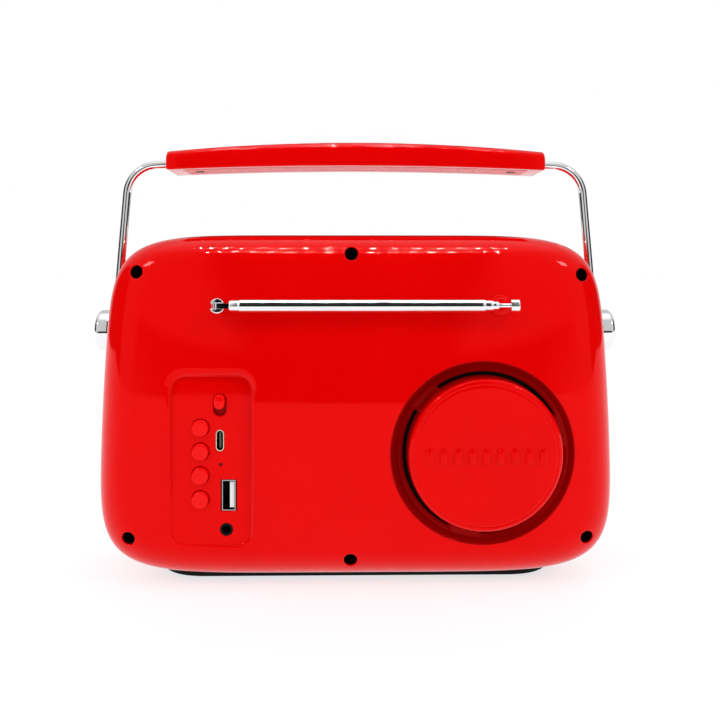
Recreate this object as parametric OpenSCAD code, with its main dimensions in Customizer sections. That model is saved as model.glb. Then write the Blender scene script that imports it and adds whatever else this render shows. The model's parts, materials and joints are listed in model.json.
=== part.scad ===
// Retro portable transistor radio with a folding carrying handle.
// Front faces -Y, back faces +Y, +Z up. The origin is the centre of the base pad's underside.

/* [Cabinet] */
// Half of the cabinet's width at mid height
half_w = 113.7; // [112:0.1:116]
// Half of the cabinet's height
half_h = 75.7; // [74:0.1:77]
// Width that the half section loses from mid height to the top, and gains to the bottom
side_taper = 3.6; // [2:0.1:4]
// Roundness of the two upper corners, a superellipse exponent
corner_top = 7.2; // [6:0.1:8]
// Roundness of the two lower corners, a superellipse exponent
corner_low = 6.3; // [6:0.1:8]
// Thickness of the moulded walls
wall = 2.5; // [2:0.1:3]
// Height of the domed back over its rim
dome_h = 7; // [6:0.5:8]
// Underside of the cabinet above the table
base_h = 4; // [3:0.5:5]

/* [Handle] */
// Height of the handle's pivots above the table
pivot_z = 110.4; // [108:0.1:114]
// Diameter of the chromed handle rods
rod_d = 3.9; // [3:0.1:4]
// Half of the grip's length
grip_half = 89.3; // [85:0.1:90]
// Width of the grip from front to back
grip_w = 27; // [22:1:30]

/* [Aerial] */
// Outer diameter of the thickest aerial tube
aerial_d = 5.5; // [5:0.1:6]
// Travel of the second aerial tube out of the first
aerial_travel = 95; // [60:1:95]

/* [Back panel] */
// Diameter of the four push buttons
button_d = 7.3; // [6:0.1:8]
// Distance between neighbouring buttons
button_pitch = 10.3; // [10:0.1:11]
// Travel of a push button
button_travel = 0.8; // [0.5:0.1:0.8]
// Travel of the power switch
switch_travel = 3.2; // [2:0.1:3.2]

/* [Front] */
// Radius of the dial scale
dial_r = 36; // [30:0.5:36]
// Radius of the volume and tuning knobs
knob_r = 11; // [8:0.5:12]
// Number of slats in the loudspeaker grille
slat_count = 13; // [9:2:13]

/* [Hidden] */
$fn = 64;

red = "#d90a0a";
dark_red = "#a80808";
chrome = "#c9ccd0";
steel = "#8d9094";
black = "#161616";
ivory = "#efe6cf";
white = "#eeeeee";
green = "#1e6b3a";

// Heights and depths of the cabinet
mid_z = base_h + half_h;
crown = 2.5;
seam_y = 24;
edge_in = 16;
edge_rise = 15;
edge_roundness = 2.3;
rim_y = seam_y + edge_rise;
front_y = -42;
front_round = 9;
draft = 3;
lip_in = 14.5;
fascia_y = front_y + wall;
tongue_gap = 0.2;

// Pivot of the handle
pivot_y = -2;
rod_x = 116.4;
rod_splay = 4.9;
rod_entry_rise = 3;
rod_bend_r = 14.8;
rod_entry_z = 190.9;
rod_r = rod_d / 2;
boss_x = 112.3;
eye_x = 113.3;
eye_out_x = 116.7;
cap_x = 117.3;
cap_out_x = 125.2;

// Grip: underside and top at its ends, and how much each rises at mid length
grip_low = 186.8;
grip_high = 195.6;
grip_low_rise = 2;
grip_high_rise = 4.3;
grip_screw_x = 75.5;

// Aerial
aerial_x = 58.8;
aerial_y = 49;
aerial_z = 124.6;
tube_1_end = -54.5;
tube_2_end = -57.9;
tube_3_end = -60.1;
tip_start = -65.1;
rest_x = -61.7;
run_gap = 0.05;
tube_wall = 0.4;
tube_1_r = aerial_d / 2;
tube_2_r = tube_1_r - tube_wall - run_gap;
tube_3_r = tube_2_r - tube_wall - run_gap;
thin_rod_r = 0.95;

// Control panel pocket in the back
panel_x = 62.9;
panel_z = 57.2;
panel_w = 34.4;
panel_h = 73;
panel_r = 6;
panel_y = 40;
panel_wall = 2.2;
button_x = 67.7;
button_top_z = 71.4;
slider_x = 59.4;
slider_z = 82.8;
usb_c_pos = [59.35, 65.8];
light_pos = [59, 55.4];
usb_a_pos = [55.5, 42.1];
jack_pos = [56.5, 27.3];
board_y = 25.4;
board_t = 1.6;

// Bass outlet in the back
bass_x = -55.3;
bass_z = 59.9;
bass_rim_r = 40.3;
bass_floor_r = 37.5;
bass_cover_r = 33.4;
dish_y = 38;
dish_wall = 2;
bass_face_y = 46.6;
bass_lean = -4;

// Screws that hold the two halves together
case_posts = [[2.4, 146.7], [96, 138.8], [-99, 137.6], [99.2, 23.2], [-100.8, 22.6], [2.8, 13.8]];
well_r = 2.9;

// Front
dial_pos = [56, 92];
tuning_pos = [75, 34];
volume_pos = [37, 34];
shaft_r = 3;
drum_r = 18;
groove_r = 16.5;
drum_y = -32;
cord_d = 0.8;
grille_pos = [-43, 79.5];
grille_size = [98, 103];
slat_r = 1.3;
speaker_r = 44;
speaker_y = -35.6;
speaker_screw_r = 69;
pcb_y = -14;
board_posts = [[22, 24], [88, 24], [22, 134], [88, 134]];
battery_pos = [8, 24];
battery_r = 9.2;

// ---------- shared functions and modules ----------

function signed_pow(v, e) = sign(v) * pow(abs(v), e);

// One closed outline of the cabinet, shrunk by inset, as [x, z] points
outline_n = 64;
outline_spread = 0.6;
function outline(inset) = [for (i = [0 : outline_n - 1])
    let (a = 360 * (i + 0.5) / outline_n,
        c = signed_pow(cos(a), outline_spread),
        s = signed_pow(sin(a), outline_spread),
        n = s > 0 ? corner_top : corner_low,
        r = pow(pow(abs(c), n) + pow(abs(s), n), -1 / n),
        v = s * r)
    [(half_w - inset - side_taper * v - crown * v * v) * c * r, mid_z + (half_h - inset) * v]];

// Height of the dome over the back's rim at one point
function dome(x, z) = dome_h * max(0, 1 - pow(x / half_w, 2))
    * max(0, 1 - pow((z - mid_z) / half_h, 2));

// The outline at a depth y, on the dome where bulge is 1
function ring(inset, y, bulge = 0, shrink = 1) = [for (p = outline(inset))
    let (x = p[0] * shrink, z = mid_z + (p[1] - mid_z) * shrink)
    [x, y + bulge * dome(x, z), z]];

// A closed solid through rings of equal count, ordered from front to back, capped at both ends
module loft(rings, count = outline_n) {
    last = len(rings) - 1;
    middle = function (loop) [for (k = [0 : 2]) [for (p = loop) p[k]] * [for (p = loop) 1] / count];
    points = concat([for (loop = rings) each loop], [middle(rings[0]), middle(rings[last])]);
    first_cap = count * (last + 1);
    sides = [for (j = [0 : last - 1], i = [0 : count - 1])
        let (k = (i + 1) % count, a = j * count + i, b = j * count + k)
        each [[a, b, a + count], [b, b + count, a + count]]];
    front_cap = [for (i = [0 : count - 1]) [first_cap, (i + 1) % count, i]];
    back_cap = [for (i = [0 : count - 1])
        [first_cap + 1, last * count + i, last * count + (i + 1) % count]];
    polyhedron(points, concat(sides, front_cap, back_cap));
}

// The rolled edge and the dome of the back, shrunk by t
module back_form(t, start_y = seam_y) {
    steps = 5;
    rolled = [for (k = [0 : steps])
        let (a = 90 * k / steps,
            e = 2 / edge_roundness,
            inset = t + (edge_in - t) * (1 - pow(cos(a), e)))
        ring(inset, seam_y + (edge_rise - t) * pow(sin(a), e), 1)];
    centre = [for (shrink = [0.8, 0.55, 0.25]) ring(edge_in, rim_y - t, 1, shrink)];
    loft(concat(start_y < seam_y ? [ring(t, start_y)] : [], rolled, centre));
}

// The sides and the rounded front of the cabinet, shrunk by t
module front_form(t) {
    steps = 4;
    r = front_round - t;
    rounded = [for (k = [steps : -1 : 0])
        let (a = 90 * k / steps)
        ring(draft + front_round - r * cos(a), front_y + front_round - r * sin(a))];
    loft(concat(rounded, [ring(t, seam_y)]));
}

// A cylinder along Y through [x, z], from y0 to y1
module y_rod(pos, r, y0, y1) {
    translate([pos[0], y0, pos[1]]) rotate([-90, 0, 0]) cylinder(r = r, h = y1 - y0);
}

// A cylinder along X through [y, z], from x0 to x1
module x_rod(pos, r, x0, x1) {
    translate([x0, pos[0], pos[1]]) rotate([0, 90, 0]) cylinder(r = r, h = x1 - x0);
}

// Draws a 2D shape, given in x and z about pos, from y0 to y1
module y_slab(pos, y0, y1) {
    translate([pos[0], y1, pos[1]]) rotate([90, 0, 0]) linear_extrude(y1 - y0) children();
}

// A box from one corner to the other
module block(low, high) {
    translate(low) cube(high - low);
}

// A rectangle with round corners, as arcs of true circles
module round_rect(w, h, r) {
    union() {
        square([w - 2 * r, h], center = true);
        square([w, h - 2 * r], center = true);
        for (x = [-1, 1], z = [-1, 1]) {
            translate([x * (w / 2 - r), z * (h / 2 - r)]) circle(r);
        }
    }
}

// A slot with round ends, h long along z
module slot_shape(w, h) {
    square([w, h - w], center = true);
    for (z = [-1, 1]) translate([0, z * (h - w) / 2]) circle(w / 2);
}

// A ring along Y about [x, z]
module y_ring(pos, outer, inner, y0, y1) {
    difference() {
        y_rod(pos, outer, y0, y1);
        y_rod(pos, inner, y0 - 1, y1 + 1);
    }
}

// Places its children at four corners of a square pattern about pos, half a diagonal out
module four_around(pos, r) {
    for (x = [-1, 1], z = [-1, 1]) {
        translate([pos[0] + x * r * cos(45), 0, pos[1] + z * r * cos(45)]) children();
    }
}

// ---------- cabinet ----------

// Posts inside the front half, with ribs to the wall
module front_posts() {
    for (p = case_posts) {
        y_rod(p, 4, fascia_y + 2.6, seam_y + 1);
        outward = sign(p[1] - mid_z);
        block([p[0] - 1, -25, min(p[1], p[1] + outward * 12)],
            [p[0] + 1, seam_y + 1, max(p[1], p[1] + outward * 12)]);
    }
    for (side = [-1, 1]) {
        x_rod([pivot_y, pivot_z], 9, min(side * 98, side * 115), max(side * 98, side * 115));
    }
    battery_cradle();
}

// Two saddles and two end stops under the battery
module battery_cradle() {
    y = battery_pos[0];
    z = battery_pos[1];
    for (x = [30, 80]) difference() {
        block([x, y - 12, 0], [x + 3, y + 12, z + 2]);
        x_rod(battery_pos, battery_r + 0.05, x - 1, x + 4);
    }
    for (x = [20, 89.2]) block([x, y - 8, 0], [x + 2, y + 8, z]);
}

module front_cabinet() {
    color(red) difference() {
        union() {
            difference() {
                front_form(0);
                difference() {
                    front_form(wall);
                    front_posts();
                }
                loft([ring(lip_in, front_y - 1), ring(lip_in, fascia_y + 0.1)]);
                loft([ring(draft + front_round, fascia_y), ring(draft + front_round, fascia_y + 3)]);
                loft([ring(wall, seam_y - 0.5), ring(wall, seam_y + 1)]);
            }
            for (side = [-1, 1]) {
                x_rod([pivot_y, pivot_z], 8, min(side * 109, side * boss_x),
                    max(side * 109, side * boss_x));
            }
            for (p = case_posts) y_rod(p, 4, seam_y - 3, seam_y);
        }
        for (p = case_posts) y_rod(p, 1.25, seam_y - 16, seam_y + 1);
        for (side = [-1, 1]) {
            x_rod([pivot_y, pivot_z], 2.05, min(side * 101, side * 115),
                max(side * 101, side * 115));
        }
    }
}

// What stands inside the back half: screw wells, the panel's tray and the bass dish
module back_posts() {
    for (p = case_posts) y_rod(p, 4.6, seam_y, 50);
    y_slab([panel_x, panel_z], panel_y - panel_wall, 50)
        round_rect(panel_w + 4.4, panel_h + 4.4, panel_r + 2.2);
    four_around([panel_x, panel_z], 42.5) y_rod([0, 0], 2.6, board_y + board_t, 50);
    y_rod([bass_x, bass_z], bass_rim_r + 2, dish_y - dish_wall, 50);
    four_around([bass_x, bass_z], 45) y_rod([0, 0], 3.4, 32, 50);
    y_rod([aerial_x, aerial_z], 5, 38.5, 50);
}

module back_shell() {
    color(red) difference() {
        union() {
            difference() {
                back_form(0);
                difference() {
                    back_form(wall, seam_y - 0.1);
                    back_posts();
                }
            }
            seam_tongue();
        }
        for (p = case_posts) {
            y_rod(p, well_r, seam_y + 2, 50);
            y_rod(p, 1.6, seam_y - 1, 50);
        }
        panel_cuts();
        bass_cuts();
        y_rod([aerial_x, aerial_z], 2.05, 30, 50);
        y_rod([rest_x, aerial_z], 1.55, 30, 50);
    }
}

// The locating lip that enters the front half, left out beside the screw posts
module seam_tongue() {
    lip = wall + tongue_gap;
    difference() {
        loft([ring(lip, seam_y - 3.5), ring(lip, seam_y + 5)]);
        loft([ring(lip + 1.5, seam_y - 4), ring(lip + 1.5, seam_y + 6)]);
        for (p = case_posts) {
            y_rod(p, 6, seam_y - 5, seam_y);
            block([p[0] - 2, seam_y - 5, p[1] - 12], [p[0] + 2, seam_y, p[1] + 12]);
        }
    }
}

module panel_cuts() {
    y_slab([panel_x, panel_z], panel_y, 50) round_rect(panel_w, panel_h, panel_r);
    for (i = [0 : 3]) y_rod([button_x, button_top_z - i * button_pitch], button_d / 2 + 0.2, 30, 50);
    y_slab([slider_x, slider_z - switch_travel / 2], 30, 50) slot_shape(5.8, 9.9);
    y_slab(usb_c_pos, 30, 50) slot_shape(3.8, 9.5);
    y_rod(light_pos, 0.8, 30, 50);
    y_slab(usb_a_pos, 30, 50) square([6.9, 13.6], center = true);
    y_rod(jack_pos, 2.8, 30, 50);
    four_around([panel_x, panel_z], 42.5) y_rod([0, 0], 1, board_y, 36.5);
}

// The funnel round the cover, three curved slots in its floor, and the screw holes
module bass_cuts() {
    translate([bass_x, dish_y, bass_z]) rotate([-90, 0, 0])
        cylinder(r1 = bass_floor_r, r2 = bass_rim_r + 1.2, h = 9.5);
    for (third = [0 : 2]) {
        translate([bass_x, dish_y - dish_wall - 1, bass_z]) rotate([-90, 0, 0])
            rotate([0, 0, third * 120 + 88]) rotate_extrude(angle = 96)
            translate([bass_cover_r + 0.3, 0]) square([1.8, dish_wall + 2]);
    }
    four_around([bass_x, bass_z], 45) y_rod([0, 0], 1.1, 31, 38);
    four_around([bass_x, bass_z], 28) y_rod([0, 0], 1.4, 30, 40);
}

module base_plate() {
    color(black) difference() {
        translate([0, 0, 1.6]) linear_extrude(9) round_rect(181, 50, 20);
        cabinet_clearance();
    }
}

// The cabinet's outside, grown by a hair, that the base plate fits round
module cabinet_clearance() {
    grow = -0.1;
    loft([ring(draft + grow, front_y + front_round), ring(grow, seam_y), ring(grow, seam_y + 10)]);
}

module base_pad() {
    color(black) linear_extrude(1.6) round_rect(172, 42, 16);
}

module case_screws() {
    color(black) for (p = case_posts) {
        y_rod(p, 1.2, seam_y - 14, seam_y + 2);
        difference() {
            y_rod(p, 2.7, seam_y + 2, seam_y + 4);
            translate([p[0], seam_y + 3.6, p[1]]) {
                cube([3.6, 1.6, 0.7], center = true);
                cube([0.7, 1.6, 3.6], center = true);
            }
        }
    }
}

// ---------- handle ----------

// Cross section of the grip as [y, z] points, with soft upper corners
grip_n = 24;
function corner_arc(y, z, r, start) = [for (k = [0 : 5])
    [y + r * cos(start + 18 * k), z + r * sin(start + 18 * k)]];
function grip_section(x, trim) =
    let (u = 1 - pow(x / grip_half, 2),
        low = grip_low + grip_low_rise * u + trim * 0.4,
        high = grip_high + grip_high_rise * u - trim,
        half = grip_w / 2 - trim,
        top_r = 3.5,
        low_r = 0.8)
    concat(corner_arc(half - top_r, high - top_r, top_r, 0),
        corner_arc(-half + top_r, high - top_r, top_r, 90),
        corner_arc(-half + low_r, low + low_r, low_r, 180),
        corner_arc(half - low_r, low + low_r, low_r, 270));
function grip_ring(x, trim) = [for (p = grip_section(x, trim)) [x, pivot_y + p[0], p[1]]];

module grip_form() {
    stations = [for (k = [5 : -1 : -5]) k * (grip_half - 1.5) / 5];
    rings = concat([grip_ring(grip_half, 1.5), grip_ring(grip_half - 0.5, 0.6)],
        [for (x = stations) grip_ring(x, 0)],
        [grip_ring(0.5 - grip_half, 0.6), grip_ring(-grip_half, 1.5)]);
    loft(rings, grip_n);
}

// The underside cover's outline at a height, wide enough to reach its seat
module grip_cover_form(gap) {
    stations = [for (k = [4 : -1 : -4]) k * (grip_half - 7 - gap) / 4];
    rings = [for (x = stations)
        let (u = 1 - pow(x / grip_half, 2),
            z = grip_low + grip_low_rise * u,
            h = grip_w / 2 - 4 - gap,
            low = gap > 0 ? z : z - 1,
            high = z + 2 - gap)
        [[x, pivot_y + h, low], [x, pivot_y + h, high],
            [x, pivot_y - h, high], [x, pivot_y - h, low]]];
    loft(rings, 4);
}

module handle_grip() {
    color(red) difference() {
        grip_form();
        grip_cover_form(0);
        for (side = [-1, 1]) {
            rod_end(side, rod_r + 0.05, 6);
            translate([side * grip_screw_x, pivot_y, grip_low]) cylinder(r = 1.25, h = 8);
        }
    }
}

module grip_cover() {
    color(dark_red) difference() {
        grip_cover_form(0.15);
        for (side = [-1, 1]) translate([side * grip_screw_x, pivot_y, grip_low - 2]) {
            cylinder(r = 1.4, h = 8);
            cylinder(r = 2.2, h = 3.2);
        }
    }
}

module grip_screws() {
    color(black) for (side = [-1, 1]) translate([side * grip_screw_x, pivot_y, grip_low + 0.3]) {
        cylinder(r = 2, h = 0.85);
        cylinder(r = 1.2, h = 6.5);
    }
}

// Where the rod's two straight stretches would meet, and the bend between them, seen from the front
rod_turn = 90 - rod_splay - rod_entry_rise;
rod_corner_s = (rod_entry_z - (rod_x - grip_half) * tan(rod_entry_rise) - pivot_z)
    / (cos(rod_splay) - sin(rod_splay) * tan(rod_entry_rise));
rod_corner = [rod_x - rod_corner_s * sin(rod_splay), pivot_z + rod_corner_s * cos(rod_splay)];
bend_leg = rod_bend_r * tan(rod_turn / 2);
bend_start = [rod_corner[0] + bend_leg * sin(rod_splay), rod_corner[1] - bend_leg * cos(rod_splay)];
bend_end = [rod_corner[0] - bend_leg * cos(rod_entry_rise),
    rod_corner[1] + bend_leg * sin(rod_entry_rise)];
bend_centre = [bend_start[0] - rod_bend_r * cos(rod_splay),
    bend_start[1] - rod_bend_r * sin(rod_splay)];

// The straight end of a rod inside the grip, from the bend inward, lengthened by extra
module rod_end(side, r, extra = 0) {
    length = (bend_end[0] - 70) / cos(rod_entry_rise) + extra;
    mirror([side < 0 ? 1 : 0, 0, 0]) translate([bend_end[0], pivot_y, bend_end[1]])
        rotate([0, -90 + rod_entry_rise, 0]) cylinder(r = r, h = length);
}

// The rod is flattened on its outer side beside its eye, to clear the cap
module handle_rod(side) {
    color(chrome) difference() {
        union() {
            mirror([side < 0 ? 1 : 0, 0, 0]) {
                difference() {
                    translate([rod_x, pivot_y, pivot_z]) rotate([0, -rod_splay, 0])
                        cylinder(r = rod_r, h = rod_corner_s - bend_leg);
                    x_rod([pivot_y, pivot_z], 11, eye_out_x - 0.15, 122);
                }
                x_rod([pivot_y, pivot_z], 6.5, eye_x, eye_out_x);
                translate([bend_centre[0], pivot_y, bend_centre[1]]) rotate([90, 0, 0])
                    rotate([0, 0, rod_splay]) rotate_extrude(angle = rod_turn)
                    translate([rod_bend_r, 0]) circle(rod_r);
            }
            rod_end(side, rod_r);
        }
        x_rod([pivot_y, pivot_z], 4.05, min(side * 110, side * 122), max(side * 110, side * 122));
        translate([side * grip_screw_x, pivot_y, grip_low]) cylinder(r = 1.3, h = 8);
    }
}

module pivot_bushes() {
    color(black) for (side = [-1, 1]) difference() {
        union() {
            x_rod([pivot_y, pivot_z], 7, min(side * boss_x, side * 113.25),
                max(side * boss_x, side * 113.25));
            x_rod([pivot_y, pivot_z], 4, min(side * boss_x, side * eye_out_x),
                max(side * boss_x, side * eye_out_x));
        }
        x_rod([pivot_y, pivot_z], 3, min(side * 111, side * 122), max(side * 111, side * 122));
    }
}

module pivot_studs() {
    color(steel) for (side = [-1, 1]) {
        x_rod([pivot_y, pivot_z], 2, min(side * 102, side * 113), max(side * 102, side * 113));
        x_rod([pivot_y, pivot_z], 2.95, min(side * boss_x, side * cap_x),
            max(side * boss_x, side * cap_x));
        x_rod([pivot_y, pivot_z], 2.45, min(side * 117, side * 121.5),
            max(side * 117, side * 121.5));
    }
}

module pivot_washers() {
    color(chrome) for (side = [-1, 1]) difference() {
        x_rod([pivot_y, pivot_z], 7, min(side * 116.75, side * 117.25),
            max(side * 116.75, side * 117.25));
        x_rod([pivot_y, pivot_z], 3, min(side * 116, side * 118), max(side * 116, side * 118));
    }
}

// Domed cap over each pivot: a short drum, a bevel and a shallow dome
module pivot_caps() {
    depth = cap_out_x - cap_x;
    color(chrome) for (side = [0, 1]) mirror([side, 0, 0]) translate([cap_x, pivot_y, pivot_z])
        rotate([0, 90, 0]) difference() {
            rotate_extrude() polygon(concat([[0, 0], [10, 0], [10, 3.4]],
                [for (k = [0 : 6]) [9.6 * cos(15 * k), 3.8 + (depth - 3.8) * sin(15 * k)]]));
            translate([0, 0, -1]) cylinder(r = 2.5, h = 5.4);
        }
}

// ---------- aerial ----------

module aerial_swivel() {
    color(chrome) difference() {
        union() {
            y_rod([aerial_x, aerial_z], 3.2, 43, aerial_y + 2.6);
            y_rod([aerial_x, aerial_z], 2, 38.1, 43.2);
        }
        block([aerial_x - 5, aerial_y - 3, aerial_z - 1.1], [aerial_x + 5, 55, aerial_z + 1.1]);
        translate([aerial_x, aerial_y, aerial_z - 5]) cylinder(r = 0.8, h = 10);
        y_rod([aerial_x, aerial_z], 0.9, 37, 42);
    }
}

// The screw and its wide head that keep the swivel in the cabinet
module aerial_screw() {
    color(steel) {
        y_rod([aerial_x, aerial_z], 4, 36.8, 38.1);
        y_rod([aerial_x, aerial_z], 0.85, 38, 41.5);
    }
}

module aerial_pin() {
    color(steel) translate([aerial_x, aerial_y, aerial_z - 3]) cylinder(r = 0.78, h = 6);
}

// A tube along X about the aerial's axis, from x1 up to x0
module aerial_tube(r, x0, x1) {
    x_rod([aerial_y, aerial_z], r, x1, x0);
}

module aerial_tube_1() {
    color(chrome) difference() {
        union() {
            aerial_tube(tube_1_r, aerial_x - 5.6, tube_1_end);
            intersection() {
                aerial_tube(2.2, aerial_x + 2.2, aerial_x - 8);
                union() {
                    translate([aerial_x, aerial_y, aerial_z - 1]) cylinder(r = 2.2, h = 2);
                    block([aerial_x - 8, aerial_y - 2.2, aerial_z - 1],
                        [aerial_x, aerial_y + 2.2, aerial_z + 1]);
                }
            }
        }
        translate([aerial_x, aerial_y, aerial_z - 2]) cylinder(r = 0.83, h = 4);
        aerial_tube(tube_1_r - tube_wall, aerial_x - 9, tube_1_end - 1);
    }
}

module aerial_tube_2() {
    color(chrome) difference() {
        aerial_tube(tube_2_r, aerial_x - 11, tube_2_end);
        aerial_tube(tube_2_r - tube_wall, aerial_x - 12.5, tube_2_end - 1);
    }
}

module aerial_tube_3() {
    color(chrome) difference() {
        aerial_tube(tube_3_r, aerial_x - 13.5, tube_3_end);
        aerial_tube(tube_3_r - tube_wall, aerial_x - 15, tube_3_end + 2);
        aerial_tube(thin_rod_r + run_gap, aerial_x - 15, tube_3_end - 1);
    }
}

module aerial_rod() {
    color(chrome) {
        aerial_tube(thin_rod_r, aerial_x - 16, tip_start);
        aerial_tube(tube_3_r - tube_wall - run_gap, aerial_x - 16, aerial_x - 21);
    }
}

module aerial_tip() {
    color(chrome) translate([tip_start, aerial_y, aerial_z]) rotate([0, -90, 0])
        rotate_extrude() polygon([[0, 0], [2.75, 0], [3.05, 0.4], [3.05, 3], [2.5, 3.5], [0, 3.7]]);
}

module aerial_rest() {
    color(red) {
        y_rod([rest_x, aerial_z], 1.5, 37, 42.5);
        difference() {
            union() {
                y_rod([rest_x, aerial_z], 4.6, 41.2, 44.5);
                y_rod([rest_x, aerial_z], 3, 44, 46.4);
            }
            back_form(0);
        }
    }
}

// ---------- back panel ----------

module push_button(index) {
    pos = [button_x, button_top_z - index * button_pitch];
    color(red) {
        y_rod(pos, button_d / 2, 37.4, 42.2);
        y_rod(pos, button_d / 2 + 0.8, 36, 37.6);
        y_rod(pos, 1.2, 31.3, 36.2);
    }
}

module power_slider() {
    color(red) {
        y_slab([slider_x, slider_z], 37.4, 42.4) slot_shape(4.8, 6.5);
        block([slider_x - 3.5, 36.2, slider_z - 8], [slider_x + 3.5, 37.6, slider_z + 7.6]);
        block([slider_x - 1, 32.8, slider_z - 1.5], [slider_x + 1, 36.4, slider_z + 1.5]);
    }
}

module power_switch() {
    color(steel) difference() {
        block([slider_x - 3, board_y + board_t, slider_z - 6.5], [slider_x + 3, 34.6, slider_z + 4]);
        block([slider_x - 1.4, 32, slider_z - 2.2 - switch_travel], [slider_x + 1.4, 36, slider_z + 2.2]);
    }
}

module button_switches() {
    color(black) for (i = [0 : 3]) {
        pos = [button_x, button_top_z - i * button_pitch];
        y_slab(pos, board_y + board_t, 29.6) square(6, center = true);
        y_rod(pos, 1.7, 29, 30.3);
    }
}

module usb_c_shell() {
    color(chrome) difference() {
        y_slab(usb_c_pos, board_y + board_t, 39.8) slot_shape(3.5, 9.2);
        y_slab(usb_c_pos, 30, 41) slot_shape(2.8, 8.5);
    }
}

module usb_c_tongue() {
    color(black) y_slab(usb_c_pos, 30, 38.6) square([0.75, 6.6], center = true);
}

module usb_a_shell() {
    color(chrome) difference() {
        y_slab(usb_a_pos, board_y + board_t, 39.8) square([5.8, 13.1], center = true);
        y_slab(usb_a_pos, 28.5, 41) square([5.2, 12.5], center = true);
    }
}

module usb_a_tongue() {
    color(white) y_slab(usb_a_pos + [-1.3, 0], 28.5, 38.6) square([1.9, 11.1], center = true);
}

module aux_jack() {
    color(black) difference() {
        union() {
            y_rod(jack_pos, 2.72, 36, 39.9);
            y_slab(jack_pos, board_y + board_t, 37.6) square([6.4, 6.4], center = true);
        }
        y_rod(jack_pos, 1.8, 28, 41);
    }
}

module status_light() {
    color(white) y_rod(light_pos, 0.75, board_y + board_t, 39.9);
}

module control_board() {
    color(green) difference() {
        y_slab([panel_x, panel_z], board_y, board_y + board_t)
            square([66, 67], center = true);
        block([panel_x - 40, 20, panel_z - 24], [panel_x - 17, 30, panel_z + 24]);
        y_rod(case_posts[3], 5, 20, 30);
        four_around([panel_x, panel_z], 42.5) y_rod([0, 0], 1.3, 20, 30);
    }
}

// Screws of the control board, the main board and the loudspeaker
module inner_screws() {
    color(steel) {
        four_around([panel_x, panel_z], 42.5) {
            y_rod([0, 0], 0.95, board_y, 34);
            y_rod([0, 0], 2.2, board_y - 1.4, board_y);
        }
        for (p = board_posts) {
            y_rod(p, 0.95, pcb_y - 7, pcb_y + board_t);
            y_rod(p, 2.2, pcb_y + board_t, pcb_y + 3);
        }
        four_around(grille_pos, speaker_screw_r) {
            y_rod([0, 0], 1.05, fascia_y + 1.2, speaker_y + 1.6);
            y_rod([0, 0], 2.4, speaker_y + 1.6, speaker_y + 2.8);
        }
    }
}

// ---------- bass outlet ----------

// A round cover whose face leans down a little, hollow behind, on four screw posts
module bass_cover() {
    color(red) difference() {
        bass_cover_form(bass_cover_r, bass_face_y);
        difference() {
            translate([0, -1, 0]) bass_cover_form(bass_cover_r - 2.2, bass_face_y - 1.2);
            four_around([bass_x, bass_z], 28) y_rod([0, 0], 2.8, dish_y - 1, 50);
        }
        four_around([bass_x, bass_z], 28) y_rod([0, 0], 1.1, dish_y - 1, 42);
    }
}

// A disc from the dish's floor to a leaning face, at a depth y at its centre
module bass_cover_form(r, y) {
    intersection() {
        y_rod([bass_x, bass_z], r, dish_y, 52);
        translate([bass_x, y, bass_z]) rotate([bass_lean, 0, 0])
            block([-60, -40, -60], [60, 0, 60]);
    }
}

module bass_frame() {
    color(black) difference() {
        union() {
            y_ring([bass_x, bass_z], 44, 38.6, 29, 32);
            four_around([bass_x, bass_z], 45) y_rod([0, 0], 4.5, 29, 32);
        }
        y_rod([bass_x, bass_z], 38.6, 28, 33);
        four_around([bass_x, bass_z], 45) y_rod([0, 0], 1.4, 28, 33);
    }
}

module bass_surround() {
    color(black) translate([bass_x, 30, bass_z]) rotate([-90, 0, 0]) rotate_extrude()
        difference() {
            union() {
                translate([34.6, 0]) circle(3.9);
                translate([29.8, 0]) square([8.7, 0.9]);
            }
            translate([34.6, 0]) circle(3);
            translate([25, -5]) square([20, 5]);
        }
}

module bass_diaphragm() {
    color(steel) {
        y_rod([bass_x, bass_z], 30.5, 28.6, 30);
        y_rod([bass_x, bass_z], 12, 25, 28.8);
    }
}

module bass_screws() {
    color(steel) {
        four_around([bass_x, bass_z], 45) {
            y_rod([0, 0], 1.05, 29, 37);
            y_rod([0, 0], 2.4, 27.4, 29);
        }
        four_around([bass_x, bass_z], 28) {
            y_rod([0, 0], 1.05, 34.6, 37.9);
            y_rod([0, 0], 2.2, 34.6, dish_y - dish_wall);
        }
    }
}

// ---------- front ----------

module front_fascia() {
    color(ivory) difference() {
        union() {
            edge = draft + front_round + 0.3;
            loft([ring(edge, fascia_y), ring(edge, fascia_y + 2.5)]);
            for (p = board_posts) y_rod(p, 3, fascia_y + 2, pcb_y);
            four_around(grille_pos, speaker_screw_r) y_rod([0, 0], 3.2, fascia_y + 2, speaker_y);
        }
        y_slab(grille_pos, -50, -30) round_rect(grille_size[0], grille_size[1], 14);
        y_rod(dial_pos, dial_r - 2, -50, -30);
        y_rod(volume_pos, 4, -50, -30);
        y_rod(tuning_pos, 4, -50, -30);
        for (p = board_posts) y_rod(p, 1, pcb_y - 8, pcb_y + 1);
        four_around(grille_pos, speaker_screw_r) y_rod([0, 0], 1.1, fascia_y + 1, speaker_y + 1);
    }
}

module front_grille() {
    w = grille_size[0] - 0.3;
    h = grille_size[1] - 0.3;
    pitch = (h - 6) / slat_count;
    color(chrome) {
        difference() {
            y_slab(grille_pos, fascia_y - 1, fascia_y + 2.2) round_rect(w, h, 13.85);
            y_slab(grille_pos, -50, -30) round_rect(w - 5, h - 5, 11.5);
        }
        for (i = [1 : slat_count - 1]) {
            x_rod([fascia_y + 0.6, grille_pos[1] - h / 2 + 3 + i * pitch], slat_r,
                grille_pos[0] - w / 2 + 1.5, grille_pos[0] + w / 2 - 1.5);
        }
    }
}

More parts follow.
